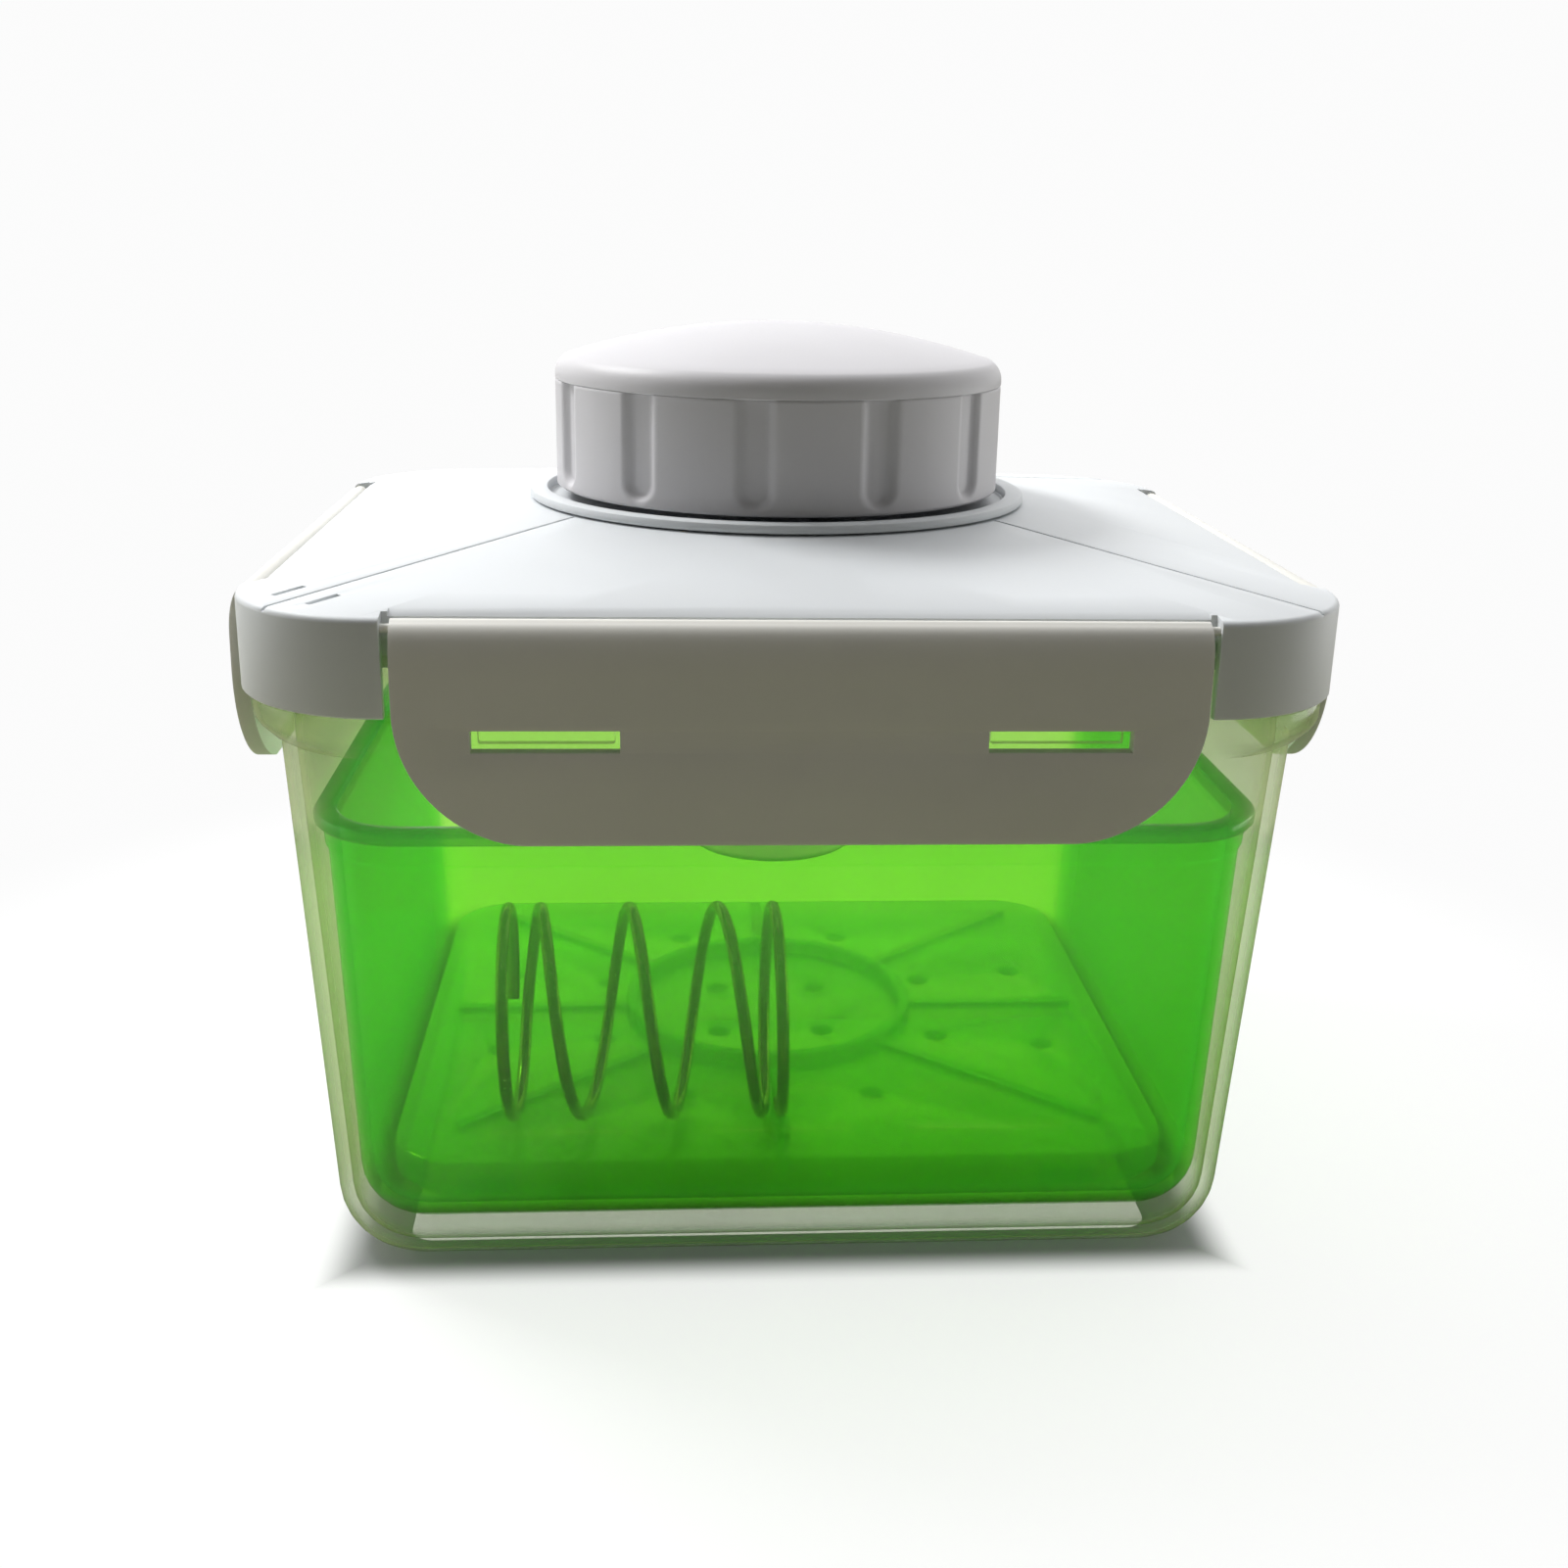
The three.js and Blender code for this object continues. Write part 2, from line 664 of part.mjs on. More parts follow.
// A latch hangs from its hinge axis, which is the X axis here, and faces -Y.
function latch(halfLength) {
  const { hingeOffset, hingeZ, barrelRadius, barrelAngle, pinRadius, innerOffset, innerTop } = LATCH;
  const { bottomZ, cornerRadius, thickness, lipThickness, lipRise } = LATCH;
  const { crownStart, crownBend, crownBendThickness } = LATCH;
  const inner = innerOffset - hingeOffset;
  const bottom = bottomZ - hingeZ;
  const meet = [barrelRadius * Math.cos(barrelAngle), barrelRadius * Math.sin(barrelAngle)];
  const side = new THREE.Shape();
  side.moveTo(inner, bottom);
  side.lineTo(inner + thickness, bottom);
  side.lineTo(inner + lipThickness, bottom + lipRise);
  side.lineTo(inner + thickness, crownStart);
  side.quadraticCurveTo(inner + crownBendThickness, crownBend, ...meet);
  side.absarc(0, 0, barrelRadius, barrelAngle, 2 * Math.PI - barrelAngle, false);
  side.lineTo(inner, innerTop);
  side.closePath();
  const settings = { depth: 2 * halfLength, bevelEnabled: false, curveSegments: 5 };
  const toPlace = new THREE.Matrix4().set(0, 0, 1, -halfLength, -1, 0, 0, 0, 0, 1, 0, 0, 0, 0, 0, 1);
  const body = solid(new THREE.ExtrudeGeometry(side, settings).applyMatrix4(toPlace));

  const cornerX = halfLength - cornerRadius;
  const cornerZ = bottom + cornerRadius;
  const top = barrelRadius + 1;
  const front = new THREE.Shape();
  front.moveTo(-halfLength, top);
  front.lineTo(-halfLength, cornerZ);
  front.absarc(-cornerX, cornerZ, cornerRadius, Math.PI, 1.5 * Math.PI);
  front.absarc(cornerX, cornerZ, cornerRadius, 1.5 * Math.PI, 2 * Math.PI);
  front.lineTo(halfLength, top);
  front.closePath();
  const depth = 2 * hingeOffset;
  const outline = new THREE.ExtrudeGeometry(front, { depth, bevelEnabled: false, curveSegments: 6 });
  outline.rotateX(Math.PI / 2).translate(0, hingeOffset, 0);

  const slotZ = LATCH.slotZ.map((z) => z - hingeZ);
  const halfSlot = LATCH.slotWidth / 2;
  const slots = slotCentres(halfLength).map((centre) =>
    block([centre - halfSlot, centre + halfSlot], [-LATCH.slotDepth, 0], slotZ),
  );
  const pins = [-1, 1].map((end) => {
    const reach = [halfLength - LATCH.pinReach, halfLength + LATCH.sideGap + LATCH.pinReach];
    return crossRod("x", pinRadius, ordered(reach, end), [0, 0]);
  });
  return join(cut(body.intersect(solid(outline)), ...slots), ...pins);
}

// ---------------------------------------------------------------- neck of the lid
function neckBushing() {
  const { rimRadii, rimZ, discZ, discRadius, boreRadius, sleeveRadii, sleeveBottomZ } = BUSHING;
  const body = turned([
    [boreRadius, discZ[0]],
    [sleeveRadii[0], discZ[0]],
    [sleeveRadii[0], sleeveBottomZ],
    [sleeveRadii[1], sleeveBottomZ],
    [sleeveRadii[1], discZ[0]],
    [discRadius, discZ[0]],
    [discRadius, rimZ[0]],
    [rimRadii[1], rimZ[0]],
    [rimRadii[1], rimZ[1]],
    [rimRadii[0], rimZ[1]],
    [rimRadii[0], discZ[1]],
    [boreRadius, discZ[1]],
  ], ROUND_SEGMENTS);
  const halfWidth = BUSHING.keywayWidth / 2;
  const reach = [-BUSHING.keywayRadius, BUSHING.keywayRadius];
  const keywayZ = [sleeveBottomZ - 1, discZ[0] - 1];
  const keyways = [
    block(reach, [-halfWidth, halfWidth], keywayZ),
    block([-halfWidth, halfWidth], reach, keywayZ),
  ];
  return cut(body, ...keyways);
}

function bushingNut() {
  const { boreRadius, hubRadius, flangeRadius, hubZ, flangeZ, notchWidth, notchDepth } = LOCKNUT;
  const body = turned([
    [boreRadius, hubZ],
    [hubRadius, hubZ],
    [hubRadius, flangeZ[0]],
    [flangeRadius, flangeZ[0]],
    [flangeRadius, flangeZ[1]],
    [boreRadius, flangeZ[1]],
  ], ROUND_SEGMENTS);
  const notches = [0, 1, 2].map((third) => {
    const slot = new THREE.BoxGeometry(2 * hubRadius + 2, notchWidth, 2 * notchDepth);
    slot.rotateZ((third * Math.PI) / 3).translate(0, 0, hubZ);
    return solid(slot);
  });
  return cut(body, ...notches);
}

// ---------------------------------------------------------------- plunger and its screw
// The ridge of the left-hand thread, from z = top downwards, or the space it needs in the plunger.
function threadRidge(clearance, [bottom, top]) {
  const turns = (top - bottom) / THREAD.pitch;
  const coil = new Coil(THREAD.ridgeCentre, (turn) => top - THREAD.pitch * turn, turns);
  const steps = Math.round(turns * THREAD_STEPS.perTurn);
  return sweptWire(coil, THREAD.ridgeRadius + clearance, THREAD_STEPS.sides, steps);
}

function plunger() {
  const { radius, wall, bottomZ, topZ, webZ, shoulderRadius, shoulderZ } = PLUNGER;
  const { keyRadius, keyWidth, keyZ, noseChamfer } = PLUNGER;
  const body = turned([
    [0, bottomZ],
    [radius - noseChamfer, bottomZ],
    [radius, bottomZ + noseChamfer],
    [radius, shoulderZ[0]],
    [shoulderRadius, shoulderZ[0]],
    [shoulderRadius, shoulderZ[1]],
    [radius, shoulderZ[1]],
    [radius, topZ],
    [0, topZ],
  ], ROUND_SEGMENTS);
  const keySpan = [keyZ, topZ];
  const keys = join(
    block([-keyRadius, keyRadius], [-keyWidth / 2, keyWidth / 2], keySpan),
    block([-keyWidth / 2, keyWidth / 2], [-keyRadius, keyRadius], keySpan),
  );
  const well = disc(radius - wall, [webZ[1], topZ + 1], ROUND_SEGMENTS);
  const cavity = disc(radius - wall, [bottomZ + wall, webZ[0]], ROUND_SEGMENTS);
  const bore = disc(THREAD.coreRadius + GAP, [webZ[0] - 1, webZ[1] + 1]);
  const threadZ = [webZ[0] - 4, THREAD.topZ];
  return cut(join(body, keys), well, cavity, bore, threadRidge(THREAD.ridgeClearance, threadZ));
}

function leadScrew() {
  const { coreRadius, z, tipChamfer } = THREAD;
  const { journalRadius, collarRadius, grooveRadius, ringGrooveZ, sealGrooveZ } = JOURNAL;
  const shaft = turned([
    [0, z[0]],
    [coreRadius - tipChamfer, z[0]],
    [coreRadius, z[0] + tipChamfer],
    [coreRadius, z[1] + 1],
    [collarRadius, z[1] + 1],
    [collarRadius, ringGrooveZ[0]],
    [grooveRadius, ringGrooveZ[0]],
    [grooveRadius, ringGrooveZ[1]],
    [journalRadius, ringGrooveZ[1]],
    [journalRadius, sealGrooveZ[0]],
    [grooveRadius, sealGrooveZ[0]],
    [grooveRadius, sealGrooveZ[1]],
    [journalRadius, sealGrooveZ[1]],
    [journalRadius, DRIVE.z[0]],
    [0, DRIVE.z[0]],
  ]);
  const ridge = threadRidge(0, [z[0] - 2, THREAD.topZ]).intersect(disc(2 * coreRadius, z));
  const square = [-DRIVE.halfSquare, DRIVE.halfSquare];
  const drive = block(square, square, [DRIVE.z[0] - 1, DRIVE.z[1]]);
  const tapping = disc(SCREW.shankRadius + GAP, [SCREW.tipZ - GAP, DRIVE.z[1] + 1], 12);
  return cut(join(shaft, ridge, drive), tapping);
}

function retainingRing() {
  const shape = new THREE.Shape();
  const { radii, z, gapAngle } = CLIP;
  shape.absarc(0, 0, radii[1], gapAngle, 2 * Math.PI - gapAngle, false);
  shape.absarc(0, 0, radii[0], 2 * Math.PI - gapAngle, gapAngle, true);
  shape.closePath();
  return prism(shape, z, 20);
}

function spindleORing() {
  const ring = new THREE.TorusGeometry(SEAL.ringRadius, SEAL.sectionRadius, 8, SMALL_SEGMENTS);
  return solid(ring.translate(0, 0, SEAL.z));
}

// ---------------------------------------------------------------- knob
function flutedOutline() {
  const { radius, flutes, fluteWidth, fluteDepth, fluteStart } = KNOB;
  const half = Math.asin(fluteWidth / 2 / radius);
  const notch = [[-1, 0], [-0.5, 0.75], [0, 1], [0.5, 0.75], [1, 0]];
  const step = (2 * Math.PI) / flutes;
  const shape = new THREE.Shape();
  const first = THREE.MathUtils.degToRad(fluteStart) - Math.PI / 2;
  for (let flute = 0; flute < flutes; flute += 1) {
    const centre = first + flute * step;
    const points = notch.map(([side, depth]) => [centre + side * half, radius - depth * fluteDepth]);
    for (const share of [0.33, 0.67]) {
      points.push([centre + half + share * (step - 2 * half), radius]);
    }
    points.forEach(([angle, r], i) => {
      const place = [r * Math.cos(angle), r * Math.sin(angle)];
      if (flute === 0 && i === 0) shape.moveTo(...place);
      else shape.lineTo(...place);
    });
  }
  shape.closePath();
  return shape;
}

function knobBody() {
  const { radius, wall, bottomZ, fluteBottomZ, topZ, plateZ, hubRadius, hubZ } = KNOB;
  const { ribWidth, ribHeight } = KNOB;
  const skirt = join(
    prism(flutedOutline(), [fluteBottomZ, topZ]),
    disc(radius, [bottomZ, fluteBottomZ + 0.1], ROUND_SEGMENTS),
  );
  const hollow = disc(radius - wall, [bottomZ - 1, plateZ], ROUND_SEGMENTS);
  const hub = disc(hubRadius, [hubZ, plateZ + 1]);
  const ribs = [0, 1, 2].map((third) => {
    const rib = new THREE.BoxGeometry(2 * (radius - wall) + 1, ribWidth, ribHeight);
    rib.rotateZ((third * Math.PI) / 3).translate(0, 0, plateZ + 0.5 - ribHeight / 2);
    return solid(rib);
  });
  const square = [-DRIVE.halfSquare - GAP, DRIVE.halfSquare + GAP];
  const socket = block(square, square, [hubZ - 1, DRIVE.z[1] + GAP]);
  const screwHole = disc(SCREW.shankRadius + GAP, [DRIVE.z[1] - 1, topZ + 1], 12);
  const spigotBand = [SPIGOT.radii[0] - GAP, SPIGOT.radii[1] + GAP];
  const spigotGroove = hollowDisc(spigotBand, [SPIGOT.bottomZ - GAP, topZ + 1], ROUND_SEGMENTS);
  return cut(join(cut(skirt, hollow), hub, ...ribs), socket, screwHole, spigotGroove);
}

function knobCrown() {
  const { radius, bottomZ, shoulderZ, edgeRadius, apexZ, skin } = CROWN;
  const [inner, outer] = SPIGOT.radii;
  const shoulder = radius - edgeRadius;
  const ceilingZ = bottomZ + skin;
  const section = [
    [0, apexZ - skin],
    [inner / 2, apexZ - skin - 1],
    [inner - 2, ceilingZ],
    [inner, ceilingZ],
    [inner, SPIGOT.bottomZ],
    [outer, SPIGOT.bottomZ],
    [outer, bottomZ],
    [radius, bottomZ],
    [radius, shoulderZ],
  ];
  for (const quarter of [0.2, 0.45, 0.7]) {
    const angle = quarter * (Math.PI / 2);
    section.push([shoulder + edgeRadius * Math.cos(angle), shoulderZ + edgeRadius * Math.sin(angle)]);
  }
  const [footRadius, footZ] = section[section.length - 1];
  for (const share of [0.8, 0.6, 0.4, 0.2, 0]) {
    section.push([footRadius * share, apexZ - (apexZ - footZ) * share ** 2]);
  }
  return turned(section, ROUND_SEGMENTS);
}

function spindleScrew() {
  const { shankRadius, headRadius, headZ, tipZ, socketRadius, socketDepth } = SCREW;
  const body = turned([
    [0, tipZ],
    [shankRadius, tipZ],
    [shankRadius, headZ[0]],
    [headRadius, headZ[0]],
    [headRadius, headZ[1]],
    [0, headZ[1]],
  ]);
  return cut(body, disc(socketRadius, [headZ[1] - socketDepth, headZ[1] + 1], 6));
}

// ---------------------------------------------------------------- assembly
function piece(name, manifold, material) {
  const mesh = new THREE.Mesh(geometryOf(manifold), material);
  mesh.name = name;
  return mesh;
}

const group = new THREE.Group();
group.add(piece("container", tub(), FROSTED));
group.add(piece("strainer_basket", strainerBasket(), GREEN));
group.add(piece("press_plate", pressPlate(), GREEN));

const spring = piece("compression_spring", compressionSpring(), STEEL);
spring.rotation.y = Math.PI / 2;
spring.position.set(SPRING.centreX, SPRING.centreY, PLATE_RIB.topZ + GAP + SPRING.outerRadius);
group.add(spring);

const lidGroup = new THREE.Group();
lidGroup.add(piece("lid_shell", lidShell(), WHITE));
lidGroup.add(piece("lid_gasket", lidGasket(), SILICONE));
lidGroup.add(piece("neck_bushing", neckBushing(), WHITE));
lidGroup.add(piece("bushing_nut", bushingNut(), WHITE));
lidGroup.add(piece("thrust_washer", hollowDisc(WASHER.radii, WASHER.z), ACETAL));
const latchPlaces = [
  ["front_latch", SPAN.front, 0],
  ["right_latch", SPAN.side, 1],
  ["rear_latch", SPAN.front, 2],
  ["left_latch", SPAN.side, 3],
];
for (const [name, span, quarter] of latchPlaces) {
  const flap = piece(name, latch(span - LATCH.sideGap), WHITE);
  const reach = quarter % 2 === 0 ? LATCH.hingeOffset - DEPTH_STEP : LATCH.hingeOffset;
  const angle = (quarter * Math.PI) / 2;
  flap.position.set(reach * Math.sin(angle), -reach * Math.cos(angle), LATCH.hingeZ);
  flap.rotation.z = angle;
  lidGroup.add(flap);
}

const knobGroup = new THREE.Group();
knobGroup.add(piece("knob_body", knobBody(), WHITE));
knobGroup.add(piece("knob_crown", knobCrown(), WHITE));
knobGroup.add(piece("lead_screw", leadScrew(), ACETAL));
knobGroup.add(piece("spindle_screw", spindleScrew(), STEEL));
knobGroup.add(piece("spindle_o_ring", spindleORing(), RUBBER));
knobGroup.add(piece("retaining_ring", retainingRing(), STEEL));
lidGroup.add(knobGroup);
lidGroup.add(piece("plunger", plunger(), WHITE));
group.add(lidGroup);

export default group;
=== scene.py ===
# Tofu press: the visual model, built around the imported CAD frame.
import math

import bmesh
import bpy
from mathutils import Matrix, Vector


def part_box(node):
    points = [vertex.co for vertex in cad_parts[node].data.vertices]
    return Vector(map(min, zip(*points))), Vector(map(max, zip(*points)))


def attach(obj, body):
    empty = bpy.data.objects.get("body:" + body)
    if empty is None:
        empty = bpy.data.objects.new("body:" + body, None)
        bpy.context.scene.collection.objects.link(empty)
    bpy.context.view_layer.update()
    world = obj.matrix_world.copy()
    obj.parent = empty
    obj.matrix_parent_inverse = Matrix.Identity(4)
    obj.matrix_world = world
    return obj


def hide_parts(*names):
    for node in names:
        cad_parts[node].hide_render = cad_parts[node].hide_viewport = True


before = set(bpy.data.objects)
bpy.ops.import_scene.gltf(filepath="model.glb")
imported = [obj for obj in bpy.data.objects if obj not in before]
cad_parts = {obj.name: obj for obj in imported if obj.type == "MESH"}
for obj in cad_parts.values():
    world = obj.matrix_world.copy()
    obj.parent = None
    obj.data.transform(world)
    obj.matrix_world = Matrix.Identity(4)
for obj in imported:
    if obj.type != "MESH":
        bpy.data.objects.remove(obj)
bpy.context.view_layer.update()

# ---------------------------------------------------------------- sizes, in millimetres
MM = 0.001
DEPTH_STEP = 8.5          # an outline at offset o is o wide and o - DEPTH_STEP deep, each way
LID_OFFSET = 85.0
LID_CORNER = 24.5
CORNER_STEPS = 14
ROUND_STEPS = 96


def top_of(node):
    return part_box(node)[1].z / MM


def bottom_of(node):
    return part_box(node)[0].z / MM


def half_size(node):
    low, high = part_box(node)
    return (high.x - low.x) / 2 / MM, (high.y - low.y) / 2 / MM


# ---------------------------------------------------------------- meshes
def mesh_object(name, points, faces):
    """A mesh piece from points in millimetres."""
    mesh = bpy.data.meshes.new(name)
    mesh.from_pydata([Vector(p) * MM for p in points], [], faces)
    piece = bpy.data.objects.new(name, mesh)
    bpy.context.scene.collection.objects.link(piece)
    face_outwards(piece)
    return piece


def face_outwards(piece):
    work = bmesh.new()
    work.from_mesh(piece.data)
    bmesh.ops.recalc_face_normals(work, faces=work.faces)
    work.to_mesh(piece.data)
    work.free()


def smooth(piece, angle=32):
    """Smooth shading, kept crisp along the edges sharper than the angle."""
    piece.data.shade_smooth()
    piece.data.set_sharp_from_angle(angle=math.radians(angle))
    return piece


def apply_modifiers(piece):
    depsgraph = bpy.context.evaluated_depsgraph_get()
    result = bpy.data.meshes.new_from_object(piece.evaluated_get(depsgraph))
    piece.modifiers.clear()
    old = piece.data
    piece.data = result
    bpy.data.meshes.remove(old)
    return piece


def combine(piece, others, operation):
    """Joins or cuts with other pieces, which are used up."""
    for other in others:
        step = piece.modifiers.new("combine", "BOOLEAN")
        step.operation = operation
        step.solver = "EXACT"
        step.object = other
        apply_modifiers(piece)
        bpy.data.objects.remove(other)
    return piece


def soften(piece, width, angle=30, segments=3):
    """Rounds every edge sharper than the angle."""
    work = bmesh.new()
    work.from_mesh(piece.data)
    bmesh.ops.remove_doubles(work, verts=work.verts, dist=0.002 * MM)
    bmesh.ops.dissolve_degenerate(work, dist=0.002 * MM, edges=work.edges)
    bmesh.ops.dissolve_limit(
        work, angle_limit=math.radians(0.6), verts=work.verts, edges=work.edges
    )
    work.to_mesh(piece.data)
    work.free()
    step = piece.modifiers.new("soften", "BEVEL")
    step.width = width * MM
    step.segments = segments
    step.limit_method = "ANGLE"
    step.angle_limit = math.radians(angle)
    step.miter_outer = "MITER_ARC"
    step.use_clamp_overlap = True
    step.harden_normals = False
    apply_modifiers(piece)
    return smooth(piece)


def rounded(half_x, half_y, radius, z, steps=CORNER_STEPS):
    """A rounded rectangle at one height, anticlockwise."""
    radius = max(radius, 0.05)
    points = []
    for quarter, (sign_x, sign_y) in enumerate([(1, 1), (-1, 1), (-1, -1), (1, -1)]):
        for i in range(steps + 1):
            angle = math.pi / 2 * (quarter + i / steps)
            x = sign_x * (half_x - radius) + radius * math.cos(angle)
            y = sign_y * (half_y - radius) + radius * math.sin(angle)
            points.append((x, y, z))
    return points


def at_offset(offset, z, steps=CORNER_STEPS):
    radius = LID_CORNER + offset - LID_OFFSET
    return rounded(offset, offset - DEPTH_STEP, radius, z, steps)


def loft(name, rings, closed_loop=False):
    """A closed body through rings of equal counts. A closed loop joins its two ends instead."""
    count = len(rings[0])
    points = [p for ring in rings for p in ring]
    faces = []
    last = len(rings) if closed_loop else len(rings) - 1
    for ring in range(last):
        here = ring * count
        there = (ring + 1) % len(rings) * count
        for i in range(count):
            j = (i + 1) % count
            faces.append((here + i, here + j, there + j, there + i))
    if not closed_loop:
        faces.append(tuple(reversed(range(count))))
        faces.append(tuple(range((len(rings) - 1) * count, len(rings) * count)))
    return mesh_object(name, points, faces)


def turned(name, section, steps=ROUND_STEPS):
    """A turned body from its half section, as (radius, height). It ends on the axis or loops."""
    on_axis = section[0][0] == 0
    inner = section[1:-1] if on_axis else section
    points = []
    for radius, z in inner:
        for i in range(steps):
            angle = 2 * math.pi * i / steps
            points.append((radius * math.cos(angle), radius * math.sin(angle), z))
    faces = []
    for row in range(len(inner) - (1 if on_axis else 0)):
        here = row * steps
        there = (row + 1) % len(inner) * steps
        for i in range(steps):
            j = (i + 1) % steps
            faces.append((here + i, here + j, there + j, there + i))
    if on_axis:
        for (_, z), row in ((section[0], 0), (section[-1], len(inner) - 1)):
            centre = len(points)
            points.append((0, 0, z))
            for i in range(steps):
                faces.append((row * steps + i, row * steps + (i + 1) % steps, centre))
    return mesh_object(name, points, faces)


def prism(name, outline, low, high):
    count = len(outline)
    points = [(x, y, low) for x, y in outline] + [(x, y, high) for x, y in outline]
    faces = [tuple(reversed(range(count))), tuple(range(count, 2 * count))]
    faces += [(i, (i + 1) % count, count + (i + 1) % count, count + i) for i in range(count)]
    return mesh_object(name, points, faces)


def block(name, x, y, z):
    return prism(name, [(x[0], y[0]), (x[1], y[0]), (x[1], y[1]), (x[0], y[1])], z[0], z[1])


def place(piece, matrix):
    """Moves the mesh itself, with the matrix's shift in millimetres."""
    moved = matrix.copy()
    moved.translation = moved.translation * MM
    piece.data.transform(moved)
    return piece


def bar(name, start, end, width, low, high):
    """A straight bar along a line, standing from low to high over it."""
    start, end = Vector(start), Vector(end)
    along = (end - start).normalized()
    across = Vector((-along.y, along.x, 0)).normalized()
    up = along.cross(across)
    half = (end - start).length / 2
    piece = block(name, (-half, half), (-width / 2, width / 2), (low, high))
    middle = (start + end) / 2
    matrix = Matrix((along, across, up)).transposed().to_4x4()
    matrix.translation = middle
    return place(piece, matrix)


def arc(centre, radius, start, end, steps):
    """Points on an arc, with its angles in degrees."""
    points = []
    for i in range(steps + 1):
        angle = math.radians(start + (end - start) * i / steps)
        points.append((centre[0] + radius * math.cos(angle), centre[1] + radius * math.sin(angle)))
    return points


def swap_in(piece, node, material, body):
    """The piece stands for the CAD node of the same name and moves with its body."""
    piece.data.materials.clear()
    piece.data.materials.append(material)
    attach(piece, body)
    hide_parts(node)
    return piece


# ---------------------------------------------------------------- materials
RGBA_A, RGBA_B, RGBA_RESULT = 6, 7, 2      # the colour sockets of a Mix node
MIDDLE_OF_NOISE = (0.3, 0.7)
MILKY_FACING = (0.35, 0.95)                # the Layer Weight range over which a wall turns milky
GLOSS_ROUGHNESS = 0.12


def new_material(name):
    material = bpy.data.materials.new(name)
    material.use_nodes = True
    nodes = material.node_tree.nodes
    return material, nodes, material.node_tree.links, nodes["Principled BSDF"]


def feed(links, socket, value):
    """A socket takes another socket's value, or a number of its own."""
    if isinstance(value, bpy.types.NodeSocket):
        links.new(value, socket)
    else:
        socket.default_value = value


def maths(nodes, links, operation, *values):
    step = nodes.new("ShaderNodeMath")
    step.operation = operation
    for socket, value in zip(step.inputs, values):
        feed(links, socket, value)
    return step.outputs["Value"]


def ramp(nodes, links, value, before, after=(0.0, 1.0)):
    """A smooth ramp from one range of numbers to another."""
    step = nodes.new("ShaderNodeMapRange")
    step.interpolation_type = "SMOOTHSTEP"
    step.inputs["From Min"].default_value, step.inputs["From Max"].default_value = before
    step.inputs["To Min"].default_value, step.inputs["To Max"].default_value = after
    links.new(value, step.inputs["Value"])
    return step.outputs["Result"]


def mix_shaders(nodes, links, share, first, second):
    step = nodes.new("ShaderNodeMixShader")
    feed(links, step.inputs["Fac"], share)
    links.new(first, step.inputs[1])
    links.new(second, step.inputs[2])
    return step.outputs["Shader"]


def axes(nodes, links, space="Object"):
    coordinates = nodes.new("ShaderNodeTexCoord")
    split = nodes.new("ShaderNodeSeparateXYZ")
    links.new(coordinates.outputs[space], split.inputs["Vector"])
    return split.outputs


def noise(nodes, links, scale, detail=3.0, roughness=0.55, stretch=None):
    """A noise over the object's own space, in which one unit is a metre."""
    coordinates = nodes.new("ShaderNodeTexCoord")
    source = coordinates.outputs["Object"]
    if stretch:
        mapping = nodes.new("ShaderNodeMapping")
        mapping.inputs["Scale"].default_value = stretch
        links.new(source, mapping.inputs["Vector"])
        source = mapping.outputs["Vector"]
    texture = nodes.new("ShaderNodeTexNoise")
    texture.inputs["Scale"].default_value = scale
    texture.inputs["Detail"].default_value = detail
    texture.inputs["Roughness"].default_value = roughness
    links.new(source, texture.inputs["Vector"])
    return texture.outputs["Fac"]


def spread(nodes, links, value, low, high):
    """Maps the middle of a noise to a range of numbers."""
    step = nodes.new("ShaderNodeMapRange")
    step.inputs["From Min"].default_value, step.inputs["From Max"].default_value = MIDDLE_OF_NOISE
    step.inputs["To Min"].default_value = low
    step.inputs["To Max"].default_value = high
    links.new(value, step.inputs["Value"])
    return step.outputs["Result"]


def tone(nodes, links, value, dark, light):
    """Maps the middle of a noise to a range of colours."""
    colours = nodes.new("ShaderNodeValToRGB")
    low, high = colours.color_ramp.elements
    low.position, high.position = MIDDLE_OF_NOISE
    low.color, high.color = (*dark, 1), (*light, 1)
    links.new(value, colours.inputs["Fac"])
    return colours.outputs["Color"]


def bump(nodes, links, value, strength, depth, after=None):
    step = nodes.new("ShaderNodeBump")
    step.inputs["Strength"].default_value = strength
    step.inputs["Distance"].default_value = depth * MM
    links.new(value, step.inputs["Height"])
    if after:
        links.new(after, step.inputs["Normal"])
    return step.outputs["Normal"]


def moulded_white(name, colour, roughness):
    """Opaque white polypropylene: a faint flow mottle, a fine mould grain and a little glow."""
    material, nodes, links, surface = new_material(name)
    mottle = noise(nodes, links, 34, 2)
    grain = noise(nodes, links, 2600, 2)
    ripple = noise(nodes, links, 55, 1)
    dark = [c * 0.965 for c in colour]
    links.new(tone(nodes, links, mottle, dark, colour), surface.inputs["Base Color"])
    links.new(
        spread(nodes, links, grain, roughness - 0.05, roughness + 0.05),
        surface.inputs["Roughness"],
    )
    waves = bump(nodes, links, ripple, 0.25, 0.12)
    links.new(bump(nodes, links, grain, 0.25, 0.02, waves), surface.inputs["Normal"])
    surface.inputs["IOR"].default_value = 1.49
    surface.inputs["Specular IOR Level"].default_value = 0.3
    surface.inputs["Subsurface Weight"].default_value = 0.12
    surface.inputs["Subsurface Radius"].default_value = (1.0, 0.95, 0.85)
    surface.inputs["Subsurface Scale"].default_value = 1.2 * MM
    return material


